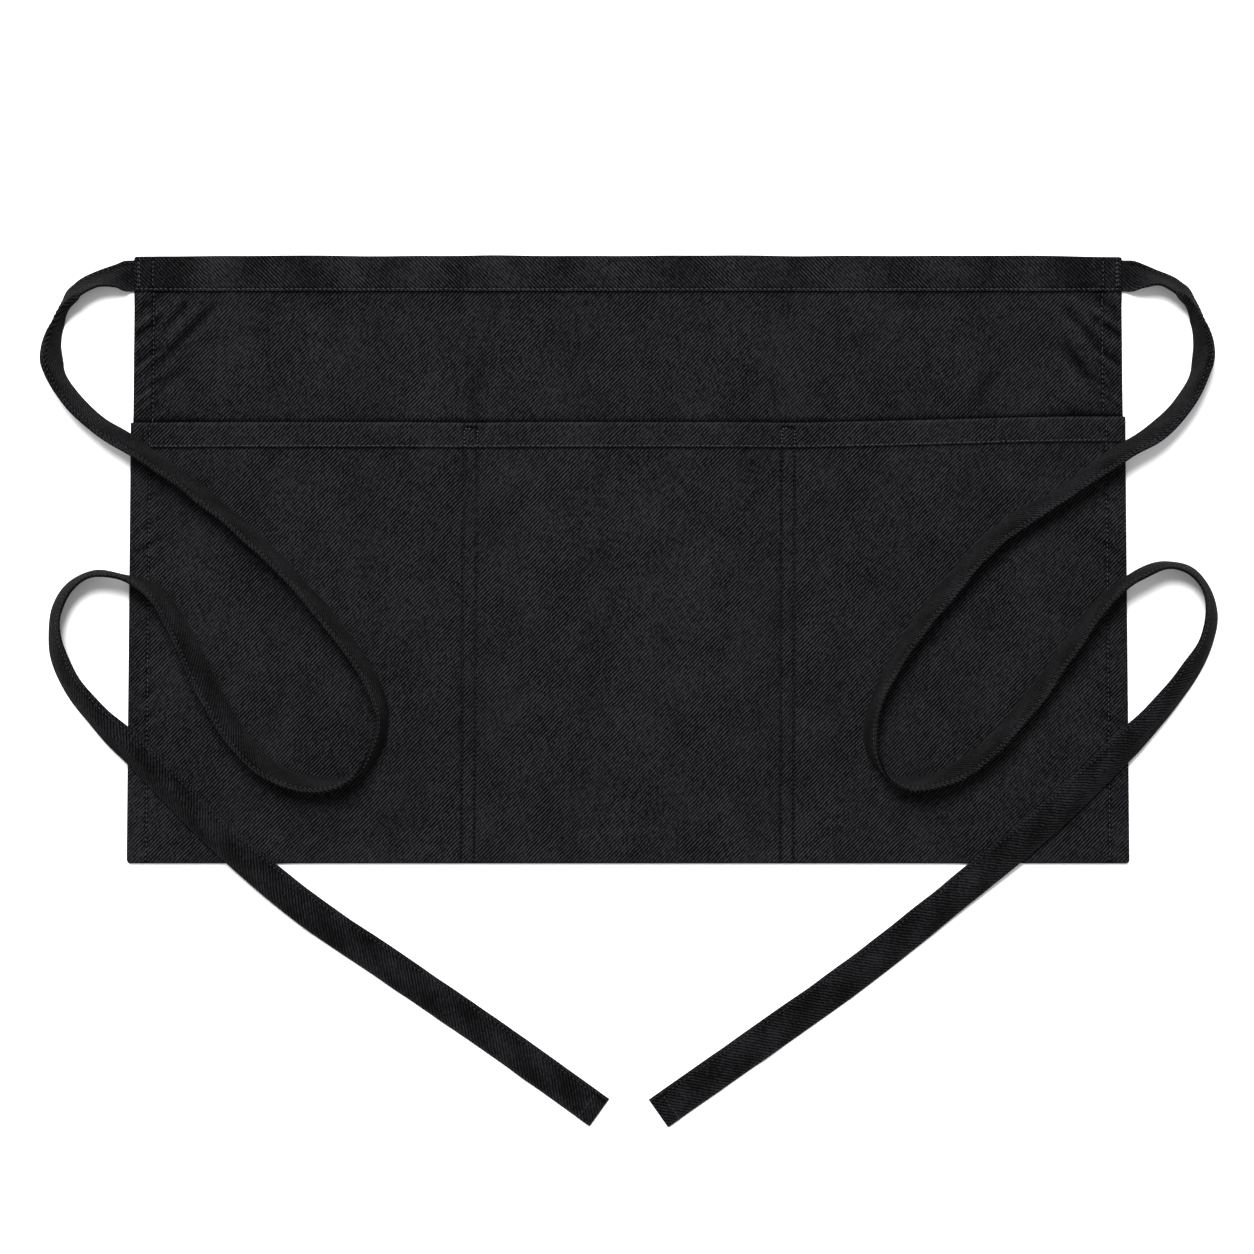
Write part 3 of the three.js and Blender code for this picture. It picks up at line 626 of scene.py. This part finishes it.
def creases(x, y):
    height = 0.0
    for x1, y1, x2, y2, depth, wide in CREASES:
        long = math.hypot(x2 - x1, y2 - y1)
        share = ((x - x1) * (x2 - x1) + (y - y1) * (y2 - y1)) / long**2
        aside = ((x - x1) * (y2 - y1) - (y - y1) * (x2 - x1)) / long / wide
        run = ease(share, -0.15, 0.3) * (1.0 - ease(share, 0.75, 1.2))
        valley = 0.3 * np.exp(-((np.abs(aside) - 2.0) ** 2)) - np.exp(-(aside**2))
        height = height + depth * run * valley
    return height


# Wrinkles and seam puckers of the body panel, in sight only above the pockets.
def body_wrinkles(x, y):
    shown = (1.0 - wrapped(x, y)) * (1.0 - ease(y, BAND_EDGE - 3.0, BAND_EDGE + 0.5))
    from_side = body_half(y) - np.abs(x)
    seam = from_side - SIDE_HEM
    soft = 0.32 * (1.0 + waves(x, y, 52.0, 11)) + 0.10 * waves(x, y, 17.0, 12) + creases(x, y)
    hem = ease(from_side, 0.0, 2.5) * (1.0 - ease(from_side, SIDE_HEM + 2, SIDE_HEM + 9))
    lean = y + 0.7 * np.abs(x)
    ripple = 0.75 * hem * puckers(lean, 0.0, 13, 9.0) + 0.16 * puckers(y, seam, 14, 5.0, 2.5)
    band = 0.22 * puckers(x, BAND_EDGE - y, 15, 15.0, 7.0)
    return shown * (soft + ripple + band)


def body_groove(x, y):
    seam = body_half(y) - np.abs(x) - SIDE_HEM
    return 0.45 * np.exp(-((seam / 0.7) ** 2)) * (1.0 - wrapped(x, y))


# Painted light and shade on the body panel's cloth: painted shade in its creases, seam, hem puckers and rolled side
# edges, painted highlights on crease ridges and pucker crests, and a painted shadow at the foot of the pocket mouth
# and the waistband, wider at the pocket's corners.
def body_painted_shading(x, y):
    from_side = body_half(y) - np.abs(x)
    shown = 1.0 - wrapped(x, y)
    tone = 1.0 - 0.6 * np.exp(-(((from_side - SIDE_HEM) / 0.8) ** 2)) * shown
    tone = tone + 0.55 * creases(x, y) * shown
    hem = ease(from_side, 0.0, 2.5) * (1.0 - ease(from_side, SIDE_HEM + 2, SIDE_HEM + 9))
    tone = tone + hem * shown * (0.38 * puckers(y + 0.7 * np.abs(x), 0.0, 13, 9.0) - 0.12)
    tone = tone - 0.5 * np.exp(-((from_side / 0.6) ** 2))
    above = y - mouth_at(x)
    tone = tone * (1.0 - 0.85 * np.exp(-((np.minimum(above, 4.0) / 2.0) ** 2)))
    corner = np.exp(-(((from_side - 24.0) / 15.0) ** 2)) * np.exp(-((above / 5.0) ** 2))
    tone = tone * (1.0 - 0.5 * corner)
    return tone * (1.0 - 0.75 * np.exp(-(((BAND_EDGE - y) / 1.3) ** 2)))


def rounded(depth, radius):
    return np.sqrt(1.0 - np.clip(1.0 - depth / radius, 0.0, 1.0) ** 2)


EDGE_STEPS = [0, 0.06, 0.22, 0.5, 0.9, 1.3, 1.8, 2.6, 3.8, 5.2, 6.8, 8.2, 9.3, 10.0, 10.6, 11.0, 11.4, 12.0, 13]
EDGE_STEPS = np.array([*EDGE_STEPS, 14.3, 15.6])

CLOTH_DARK, CLOTH_LIGHT = (0.0001, 0.0001, 0.0002), (0.0262, 0.0263, 0.0291)
body_twill = twill("body twill", CLOTH_DARK, CLOTH_LIGHT)


def body_panel():
    bottom, top = BOTTOM + LAYER, TOP - LAYER - CLEAR
    mouth = BOTTOM + POCKET_DEPTH
    low = np.linspace(bottom, mouth - 4.0, 34)
    rows = np.concatenate([low, np.arange(mouth - 2.4, BAND_EDGE - 0.6, 1.35), BAND_EDGE + np.array([0, 0.1, 0.6]), np.linspace(BAND_EDGE + 2.0, top, 8)])
    middle = np.linspace(-1.0, 1.0, 321)
    reach = EDGE_STEPS[-1] + 1.35
    y = rows[:, None]
    half = body_half(y) - 12.0 * ease(y, BAND_EDGE + 0.1, BAND_EDGE + 0.6)
    inner = middle[None, :] * (half - reach)
    x = np.concatenate([EDGE_STEPS[None] - half, inner, half - EDGE_STEPS[None, ::-1]], axis=1)
    depth = half - np.abs(x)
    thick = body_top(x, y) - body_under(x, y)
    over = body_top(x, y) + body_wrinkles(x, y) - body_groove(x, y)
    under = body_under(x, y) + ease(depth, SIDE_HEM + 1.5, SIDE_HEM + 8.0) * body_wrinkles(x, y)
    under = np.maximum(under, 0.02 * (1.0 - wrapped(x, y)))
    heart = (over + under) / 2
    over = heart + (over - heart) * rounded(depth, thick / 2)
    turned = [0.06, 0.22, 0.5, 0.9, 2.5, 6.0, 10.3]
    strip_x = half - np.array(turned)[None]
    strip_over = body_top(strip_x, y) + body_wrinkles(strip_x, y)
    strip_under = body_under(strip_x, y)
    strip_heart = (strip_over + strip_under) / 2
    strip_thick = (strip_over - strip_under) / 2
    strip_z = strip_heart - (strip_heart - strip_under) * rounded(half - strip_x, strip_thick)
    back_x = np.concatenate([[10.5], [11.5, 13.0, 16.0]])
    back_x = np.concatenate([half - back_x[None], middle[None, ::-6] * (half - reach), back_x[::-1][None] - half], axis=1)
    back_z = body_under(back_x, y)
    back_depth = half - np.abs(back_x)
    back_z = back_z + (1.0 - ease(back_depth, 10.6, 12.5)) * CLOTH * (1.0 - wrapped(back_x, y))
    back_z = back_z + ease(back_depth, SIDE_HEM + 1.5, SIDE_HEM + 8.0) * body_wrinkles(back_x, y)
    all_x = np.concatenate([x, strip_x, back_x, -strip_x[:, ::-1]], axis=1)
    left_over = body_top(-strip_x, y) + body_wrinkles(-strip_x, y)
    left_under = body_under(-strip_x, y)
    left_heart, left_thick = (left_over + left_under) / 2, (left_over - left_under) / 2
    left_z = left_heart - (left_heart - left_under) * rounded(half - strip_x, left_thick)
    all_z = np.concatenate([over, strip_z, back_z, left_z[:, ::-1]], axis=1)
    grid = np.stack([all_x, np.broadcast_to(y, all_x.shape), all_z], axis=2) * MM
    piece = cloth_mesh("body_cloth", grid, body_twill, closed=True, capped=True, tone=body_painted_shading(x, y))
    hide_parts("body_panel")
    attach(piece, "root")

    rows = np.arange(mouth + 1.5, BAND_EDGE - 0.8, STITCH_PITCH)
    centres, ways, normals = [], [], []
    for side in (-1, 1):
        for y in rows:
            if y < mouth_at(side * 276.0) + 1.5:
                continue
            x = side * (body_half(y) - SIDE_HEM)
            z = body_top(x, y) + body_wrinkles(x, y) - body_groove(x, y)
            centres += [(x * MM, y * MM, z * MM), (x * MM, y * MM, 0.1 * MM)]
            ways += [(0, 1, 0), (0, 1, 0)]
            normals += [(0, 0, 1), (0, 0, -1)]
    row = stitches("side_hem_stitches", centres, ways, normals)
    return piece


body = body_panel()

# Waistband
# One strip of the twill folded lengthways over the top of the body panel, sewn along its lower
# edge through all layers. Its ends are turned in and barred with upright rows that hold the ties.

# upright soft ripples of the band: place along it, width, height and lean
BAND_RIPPLES = [
    (-252, 8, -0.35, 0.3),
    (-232, 9, 0.75, 0.35),
    (-211, 8, -0.5, 0.3),
    (-182, 10, -0.55, -0.4),
    (-156, 8, 0.45, -0.3),
    (-136, 7, -0.35, 0.4),
    (-116, 9, 0.6, 0.3),
    (-93, 8, -0.35, 0.5),
    (-72, 9, 0.5, -0.4),
    (-38, 10, -0.4, 0.3),
    (-12, 9, 0.35, -0.3),
    (29, 9, -0.4, 0.5),
    (58, 10, 0.35, -0.3),
    (92, 8, -0.35, 0.4),
    (121, 10, 0.45, -0.3),
    (150, 9, -0.4, 0.4),
    (172, 10, 0.6, -0.5),
    (200, 9, -0.45, 0.3),
    (226, 9, 0.55, 0.3),
    (249, 8, -0.4, -0.3),
]
BAND_HEIGHT = 3 * CLOTH + 2 * CLEAR
TIE_INSIDE = 12.0

band_twill = twill("band twill", CLOTH_DARK, CLOTH_LIGHT, lean=-1.0)


def band_face(x, y):
    inset = WAIST_HALF - np.abs(x)
    height = BAND_HEIGHT + CLOTH * (1.0 - ease(inset, TIE_INSIDE + 1, TIE_INSIDE + SIDE_HEM))
    swell = 0.35 * np.sin(np.clip((y - BAND_EDGE) / BAND_DEPTH, 0, 1) * math.pi)
    height = height + swell * ease(inset, 12.0, 20.0)
    for place, spread, tall, lean in BAND_RIPPLES:
        off = (x - place - lean * (y - BAND_EDGE - BAND_DEPTH / 2)) / spread
        height = height + 1.3 * tall * np.exp(-off * off) * ease(y, BAND_EDGE, BAND_EDGE + 9.0)
    height = height + 0.13 * puckers(x, y - BAND_EDGE - 1.2, 21, 7.0, 4.0)
    height = height + 0.10 * waves(x, y, 15.0, 22)
    groove = 0.4 * np.exp(-(((y - BAND_EDGE - 1.3) / 0.55) ** 2))
    for bar in (2.7, 10.6):
        groove = groove + 0.4 * np.exp(-(((inset - bar) / 0.6) ** 2))
    return height - groove


# Painted light and shade on the waistband: a painted highlight along its lower fold, light and shade that follow its
# ripples, and painted shade along its top edge, at its ends, on its stitched bars and beside its stitch row; it is
# also a little darker overall and towards its ends.
def band_painted_shading(x, y):
    inset = WAIST_HALF - np.abs(x)
    tone = 0.92 + 0.35 * np.exp(-(((y - BAND_EDGE - 0.4) / 0.5) ** 2))
    tone = tone - 0.22 * (1.0 - ease(inset, 10.0, 60.0)) - 0.5 * np.exp(-((inset / 0.5) ** 2))
    tone = tone - 0.4 * np.exp(-(((TOP - y) / 0.7) ** 2))
    for place, spread, tall, lean in BAND_RIPPLES:
        off = (x - place - lean * (y - BAND_EDGE - BAND_DEPTH / 2)) / spread
        tone = tone + 0.45 * tall * np.exp(-off * off)
    for bar in (2.7, 10.6):
        tone = tone - 0.5 * np.exp(-(((inset - bar) / 0.7) ** 2))
    return tone - 0.25 * np.exp(-(((y - BAND_EDGE - 1.9) / 0.5) ** 2))


def waistband():
    ends = np.array([0, 0.08, 0.3, 0.7, 1.2, 1.8, 2.3, 2.7, 3.1, 3.8, 5.0, 6.2, 7.6, 9.0, 10.1, 10.6, 11.1, 12.0])
    middle = np.linspace(-(WAIST_HALF - 13.3), WAIST_HALF - 13.3, 389)
    x = np.concatenate([ends - WAIST_HALF, middle, (WAIST_HALF - ends)[::-1]])[:, None]
    shrink = rounded(WAIST_HALF - np.abs(x), 0.8)
    top = TOP + 0.2 * waves(x, 0.0 * x, 60.0, 23) - 0.6 * (1.0 - ease(WAIST_HALF - np.abs(x), 0.0, 60.0))
    top = top - 0.8 * (1.0 - rounded(WAIST_HALF - np.abs(x), 2.5))
    rise = np.array([0, 0.05, 0.2, 0.45, 0.8, 1.1, 1.3, 1.55, 2.0, 2.8, 4, 5.5, 7, 8.5, 10, 11.5, 13, 14.5, 16, 17.2])
    front_y = BAND_EDGE + rise[None] / 18.0 * (top - 2.0 - BAND_EDGE)
    front_y = np.where(rise[None] < 3.0, BAND_EDGE + rise[None], front_y)
    front_z = band_face(x, front_y)
    edge = rounded(rise, 0.5)[None]
    inner_front = front_z - CLOTH
    front_z = inner_front + CLOTH / 2 + (CLOTH / 2) * edge + 0.0 * x
    turn = np.linspace(0.0, math.pi, 13)[None]
    bend_z = band_face(x, top - 2.2)
    heart = bend_z / 2
    fold_y = top - 1.8 + 1.8 * np.sin(turn)
    fold_z = heart + heart * np.cos(turn)
    back_drop = np.array([16, 12, 8, 4, 1.0, 0.3])
    back_y = BAND_EDGE + back_drop[None] + 0.0 * x
    back_z = np.array([0, 0, 0, 0, 0, 0.03])[None] + 0.0 * x
    rim_y = BAND_EDGE + np.array([0.0, 0.0])[None] + 0.0 * x
    rim_z = np.array([0.25, 0.75])[None] + 0.0 * x
    in_back_y = BAND_EDGE + np.array([0.3, 4, 8, 12, 16.5])[None] + 0.0 * x
    in_back_z = np.array([1, 1, 1, 1, 1.0])[None] + 0.0 * x
    in_fold_y = top - 1.9 + 0.9 * np.sin(turn[:, ::-2])
    in_fold_z = heart + (heart - CLOTH) * np.cos(turn[:, ::-2])
    in_front_y = BAND_EDGE + np.array([16.5, 12, 8, 4, 0.4])[None] + 0.0 * x
    in_front_z = band_face(x, in_front_y) - CLOTH
    y = np.concatenate([front_y, fold_y, back_y, rim_y, in_back_y, in_fold_y, in_front_y], axis=1)
    z = np.concatenate([front_z, fold_z, back_z, rim_z, in_back_z, in_fold_z, in_front_z], axis=1)
    outer = np.zeros(z.shape[1], dtype=bool)
    outer[: front_y.shape[1] + fold_y.shape[1]] = True
    z = np.where(outer[None], z - 0.6 * (1.0 - shrink), z)
    grid = np.stack([np.broadcast_to(x, y.shape), y, z], axis=2) * MM
    tone = band_painted_shading(x, np.concatenate([front_y, fold_y], axis=1))
    piece = cloth_mesh("waistband_cloth", grid, band_twill, closed=True, capped=True, flip=True, tone=tone)
    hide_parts("waistband")
    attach(piece, "root")

    centres, ways, normals = [], [], []
    for x in np.arange(-WAIST_HALF + 1.5, WAIST_HALF - 1.0, STITCH_PITCH):
        y = BAND_EDGE + 1.3
        centres += [(x * MM, y * MM, float(band_face(x, y)) * MM), (x * MM, y * MM, 0.05 * MM)]
        ways += [(1, 0, 0), (1, 0, 0)]
        normals += [(0, 0, 1), (0, 0, -1)]
    for side in (-1, 1):
        for bar in (2.3, 3.1, 10.6):
            for y in np.arange(BAND_EDGE + 3.2 + bar % 1, TOP - 2.0, STITCH_PITCH * 0.9):
                x = side * (WAIST_HALF - bar)
                centres += [(x * MM, y * MM, float(band_face(x, y)) * MM), (x * MM, y * MM, 0.05 * MM)]
                ways += [(0, 1, 0), (0, 1, 0)]
                normals += [(0, 0, 1), (0, 0, -1)]
    row = stitches("waistband_stitches", centres, ways, normals)
    return piece


band = waistband()

# Pocket panel
# One wide cloth over the lower part of the apron. Its sides and bottom edge are wrapped round the
# body panel and sewn down, its mouth is hemmed double, and two twin rows part it in three pockets.

MOUTH_HEM = 14.0
DIVIDER_GAUGE = 7.3
POCKET_BULGE = 6.0
WRAP = 2 * LAYER + CLOTH
# middle of each divider at the mouth and at the bottom edge
DIVIDERS = [(-87.8, -89.7), (89.6, 88.8)]

pocket_twill = twill("pocket twill", CLOTH_DARK, CLOTH_LIGHT)


def divider_at(n, y):
    share = np.clip((y - BOTTOM) / POCKET_DEPTH, 0.0, 1.0)
    return DIVIDERS[n][1] + share * (DIVIDERS[n][0] - DIVIDERS[n][1])


def pocket_share(x, y):
    side = body_half(y) - SIDE_HEM
    left, right = divider_at(0, y), divider_at(1, y)
    gauge = DIVIDER_GAUGE / 2
    across = np.ones(np.broadcast(x, y).shape)
    for low, high in ((-side, left - gauge), (left + gauge, right - gauge), (right + gauge, side)):
        within = (x > low) & (x < high)
        across = np.where(within, np.abs(2 * x - low - high) / (high - low), across)
    foot = BOTTOM + BOTTOM_TURN + LAYER
    up = np.clip((y - foot) / (mouth_at(x) - foot), 0.0, 1.0)
    return (1.0 - np.minimum(across, 1.0) ** 4) * (1.0 - (1.0 - up) ** 6)


def pocket_under(x, y):
    lying = body_top(x, np.minimum(y, mouth_at(x) - CLOTH)) + CLEAR
    return lying + POCKET_BULGE * pocket_share(x, y)


def pocket_wrinkles(x, y):
    free = pocket_share(x, y)
    below = mouth_at(x) - y
    calm = 1.0 - ease(below, MOUTH_HEM + 6.0, MOUTH_HEM - 2.0) * 0.5
    soft = free * calm * (0.40 * waves(x, y, 58.0, 31) + 0.12 * waves(x, y, 19.0, 32))
    from_side = body_half(y) - np.abs(x)
    side = 0.20 * ease(from_side, 1.0, 3.0) * puckers(y + 0.6 * np.abs(x), from_side - SIDE_HEM, 33, 8.0, 5.0)
    hem = 0.10 * puckers(x, below - MOUTH_HEM + 1, 34, 7.0, 3.0)
    rows = 0.0
    for n in (0, 1):
        for gauge in (-DIVIDER_GAUGE / 2, DIVIDER_GAUGE / 2):
            rows = rows + 0.10 * puckers(y, x - divider_at(n, y) - gauge, 35 + n, 5.5, 2.5)
    return soft + side + hem + rows


def pocket_grooves(x, y):
    below = mouth_at(x) - y
    seam = pocket_half(y) - np.abs(x) - SIDE_HEM
    groove = 0.45 * np.exp(-((seam / 0.7) ** 2))
    groove = groove + 0.30 * np.exp(-(((below - MOUTH_HEM + 0.9) / 0.5) ** 2))
    for n in (0, 1):
        for gauge in (-DIVIDER_GAUGE / 2, DIVIDER_GAUGE / 2):
            off = x - divider_at(n, y) - gauge
            groove = groove + 0.75 * np.exp(-((off / 0.6) ** 2))
    return groove


# Painted light and shade on the pocket panel: painted shade in its side seams, divider rows and the bar across each
# divider's top, along its outer edges and lip, and a painted shadow below the mouth hem's step; light and shade on the
# side seam's puckers; painted highlights along the mouth's fold and the hem's edge.
def pocket_painted_shading(x, y):
    below = mouth_at(x) - y
    from_side = pocket_half(y) - np.abs(x)
    tone = 1.0 - 0.6 * np.exp(-(((from_side - SIDE_HEM) / 0.8) ** 2))
    tone = tone + 0.25 * puckers(y + 0.6 * np.abs(x), from_side - SIDE_HEM, 33, 8.0, 5.0)
    tone = tone - 0.5 * np.exp(-((from_side / 0.6) ** 2)) + 0.5 * np.exp(-(((below - 0.7) / 0.7) ** 2))
    tone = tone - 0.6 * np.exp(-((below / 0.25) ** 2)) - 0.6 * np.exp(-(((y - BOTTOM) / 0.6) ** 2))
    tone = tone - 0.65 * np.exp(-(((below - MOUTH_HEM - 0.4) / 0.6) ** 2))
    tone = tone + 0.25 * np.exp(-(((below - MOUTH_HEM + 0.3) / 0.5) ** 2))
    for n in (0, 1):
        for gauge in (-DIVIDER_GAUGE / 2, DIVIDER_GAUGE / 2):
            off = x - divider_at(n, y) - gauge
            tone = tone - 0.92 * np.exp(-((off / 0.55) ** 2)) * ease(below, 2.0, 3.0)
        box = x - divider_at(n, y)
        top_bar = np.exp(-(((below - 2.4) / 0.6) ** 2)) * (np.abs(box) < DIVIDER_GAUGE / 2)
        tone = tone - 0.9 * top_bar
    return tone


def pocket_top(x, y):
    below = mouth_at(x) - y
    hem = 1.0 - ease(below, MOUTH_HEM - 0.25, MOUTH_HEM + 0.25)
    return pocket_under(x, y) + CLOTH + CLOTH * hem + pocket_wrinkles(x, y) - pocket_grooves(x, y)


def pocket_panel():
    low = [0, 0.06, 0.22, 0.5, 0.9, 1.05, 1.3, 1.8, 2.8, 4.4, 6.2, 8.2, 9.97, 10.03, 10.8, 12.0, 13.6]
    hem = MOUTH_HEM
    high = [0, 0.06, 0.22, 0.5, 0.9, 1.4, 2.4, 4.0, 6.0, 8.0, 10.0, 11.4, 12.2, hem - 1.3, hem - 0.9, hem - 0.5]
    high = np.array([*high, hem - 0.2, hem, hem + 0.2, hem + 0.6, hem + 1.4, hem + 2.6])
    body_rows = np.arange(15.2, POCKET_DEPTH - high[-1] - 0.6, 1.8)
    rows = np.concatenate([low, body_rows, (POCKET_DEPTH - high)[::-1]])[:, None]
    corner = 2.2
    round_off = corner - np.sqrt(corner**2 - np.clip(corner - rows, 0.0, corner) ** 2)
    level = BOTTOM + rows
    outline = pocket_half(level) - round_off

    def place(depth_left, middle_shares, depth_right):
        reach = 16.9
        left = depth_left[None] - outline
        middle = middle_shares[None] * (outline - reach)
        right = outline - depth_right[None]
        return np.concatenate([left, middle, right], axis=1)

    def height_of(x):
        rise = MOUTH_RISE * ease(x, DIVIDER_OFFSET, pocket_half(0.0))
        return level + rise * np.minimum(rows / (POCKET_DEPTH - 20.0), 1.0)

    heart = (2 * LAYER + CLOTH) / 2
    # fine columns follow each divider row, even ones lie between them
    lines = [divider_at(n, level) + gauge for n in (0, 1) for gauge in (-DIVIDER_GAUGE / 2, DIVIDER_GAUGE / 2)]
    close_by = np.array([-1.8, -1.1, -0.6, -0.3, 0.0, 0.3, 0.6, 1.1, 1.8])[None]
    stops = [16.9 - outline, *lines, outline - 16.9]
    columns = [EDGE_STEPS[None] - outline]
    for n, count in enumerate((112, 2, 106, 2, 112)):
        low = stops[n] + (2.8 if n > 0 else 0.0)
        high = stops[n + 1] - (2.8 if n < 4 else 0.0)
        columns.append(low + (high - low) * np.linspace(0.0, 1.0, count)[None])
        if n < 4:
            columns.append(stops[n + 1] + close_by)
    x = np.concatenate([*columns, outline - EDGE_STEPS[None, ::-1]], axis=1)
    y = height_of(x)
    depth = np.minimum(outline - np.abs(x), rows + 0.0 * x)
    over = pocket_top(x, y)
    fold = rounded(mouth_at(x) - y, 1.0)
    under_here = pocket_under(x, y)
    centre = (over + under_here) / 2
    over = centre + (over - centre) * fold
    over = heart + (over - heart) * rounded(depth, heart)

    turned = np.array([0.06, 0.22, 0.5, 0.9, 1.3, 1.8, 3.0, 6.0, 8.5, SIDE_HEM])
    back = np.array([SIDE_HEM, 8.5, 6.0, 3.0, 2.2, 1.6, 1.3, 1.12, 1.03, 1.0])
    wide = rows < BOTTOM_TURN

    def spread(depths):
        far = np.where(depths[None] > 2.0, (depths[None] - 2.0) / (SIDE_HEM - 2.0) * (outline - 2.0) + 2.0, depths[None])
        return np.where(wide, far, depths[None] + 0.0 * rows)

    strip_in = spread(turned)
    strip_depth = np.minimum(strip_in, rows)
    strip_z = heart - heart * rounded(strip_depth, heart)
    inner_in = spread(back)
    inner_depth = np.minimum(inner_in, rows)
    room = heart - CLOTH
    inner_z = heart - room * rounded(np.maximum(inner_depth - 1.0, 0.0), room)
    strip_y = level + 0.0 * strip_in + MOUTH_RISE * np.minimum(rows / (POCKET_DEPTH - 20.0), 1.0)
    inner_y = level + 0.0 * inner_in + MOUTH_RISE * np.minimum(rows / (POCKET_DEPTH - 20.0), 1.0)
    left_y = level + 0.0 * strip_in

    lining_steps = np.array([1.0, 1.03, 1.12, 1.3, 1.6, 2.2, 3.0, 5.0, 8.0, 11.0, 13.5])
    lining_x = place(lining_steps, np.linspace(-1.0, 1.0, 73), lining_steps[::-1])[:, ::-1]
    lining_y = height_of(lining_x)
    lining_depth = np.minimum(outline - np.abs(lining_x), rows + 0.0 * lining_x)
    lining_z = pocket_under(lining_x, lining_y)
    lift = pocket_share(lining_x, lining_y) > 0.02
    lining_z = lining_z + np.where(lift, pocket_wrinkles(lining_x, lining_y), 0.0)
    lining_top = pocket_top(lining_x, lining_y)
    fold = rounded(mouth_at(lining_x) - lining_y, 1.0)
    centre = (lining_top + pocket_under(lining_x, lining_y)) / 2
    lining_z = centre + (lining_z - centre) * fold
    lining_z = heart + (lining_z - heart) * rounded(np.maximum(lining_depth - 1.0, 0.0), room)

    parts_x = [x, outline - strip_in, outline - inner_in, lining_x, inner_in[:, ::-1] - outline, strip_in[:, ::-1] - outline]
    parts_y = [y, strip_y, inner_y, lining_y, left_y, left_y]
    parts_z = [over, strip_z, inner_z, lining_z, inner_z[:, ::-1], strip_z[:, ::-1]]
    grid = np.stack([np.concatenate(p, axis=1) for p in (parts_x, parts_y, parts_z)], axis=2) * MM

    # the mouth's fold joins the front to its lining, and a small face closes each turned strip
    columns = np.cumsum([0] + [part.shape[1] for part in parts_x])
    front = list(range(columns[0], columns[1]))
    lining = list(range(columns[4] - 1, columns[3] - 1, -1))
    last = grid.shape[0] - 1
    mouth_x = grid[last, :, 0]
    closing = []
    i = j = 0
    while i + 1 < len(front) or j + 1 < len(lining):
        on_front = j + 1 == len(lining)
        if i + 1 < len(front) and j + 1 < len(lining):
            on_front = mouth_x[front[i + 1]] <= mouth_x[lining[j + 1]]
        if on_front:
            closing.append([(last, front[i]), (last, front[i + 1]), (last, lining[j])])
            i += 1
        else:
            closing.append([(last, front[i]), (last, lining[j + 1]), (last, lining[j])])
            j += 1
    right_end = [columns[1] - 1, *range(columns[1], columns[3]), columns[3]]
    left_end = [columns[4] - 1, *range(columns[4], columns[6]), 0]
    closing += [[(last, n) for n in end] for end in (right_end, left_end)]
    closing.append([(0, n) for n in range(grid.shape[1])][::-1])
    piece = cloth_mesh("pocket_cloth", grid, pocket_twill, closed=True, more_faces=closing, tone=pocket_painted_shading(x, y))
    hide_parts("pocket_panel")
    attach(piece, "root")

    centres, ways, normals = [], [], []

    def sew(x, y, way, both=True):
        z = float(pocket_top(x, y))
        centres.append((x * MM, y * MM, z * MM))
        ways.append(way)
        normals.append((0, 0, 1))
        if both:
            centres.append((x * MM, y * MM, 0.05 * MM))
            ways.append(way)
            normals.append((0, 0, -1))

    for side in (-1, 1):
        mouth = float(mouth_at(side * 270.0))
        for y in np.arange(BOTTOM + 2.5, mouth - 1.0, STITCH_PITCH):
            sew(side * float(pocket_half(y) - SIDE_HEM), y, (-side * 0.013, 1, 0))
    for x in np.arange(-pocket_half(76.0) + SIDE_HEM + 1, pocket_half(76.0) - SIDE_HEM, STITCH_PITCH):
        sew(x, float(mouth_at(x)) - MOUTH_HEM + 0.9, (1, 0, 0), False)
    row = stitches("pocket_stitches", centres, ways, normals)
    centres, ways, normals = [], [], []
    for n in (0, 1):
        top = float(mouth_at(divider_at(n, 70.0))) - 3.2
        for gauge in (-DIVIDER_GAUGE / 2, DIVIDER_GAUGE / 2):
            for y in np.arange(top - MOUTH_HEM + 4.6, top, 1.9):
                sew(float(divider_at(n, y)) + gauge, y, (0, 1, 0))
        for x in np.arange(-DIVIDER_GAUGE / 2 + 0.9, 0.3, 1.6):
            sew(float(divider_at(n, top)) + x, top - 0.3, (1, 0, 0))
    bars = stitches("divider_bars", centres, ways, normals, length=1.15, thick=0.95)
    centres, ways, normals = [], [], []
    for n in (0, 1):
        for gauge in (-DIVIDER_GAUGE / 2, DIVIDER_GAUGE / 2):
            for y in np.arange(BOTTOM + 2.0, BOTTOM + POCKET_DEPTH - MOUTH_HEM, STITCH_PITCH):
                sew(float(divider_at(n, y)) + gauge, y, (0, 1, 0))
    twin = stitches("divider_stitches", centres, ways, normals, finish=dark_thread)
    return piece


pocket = pocket_panel()
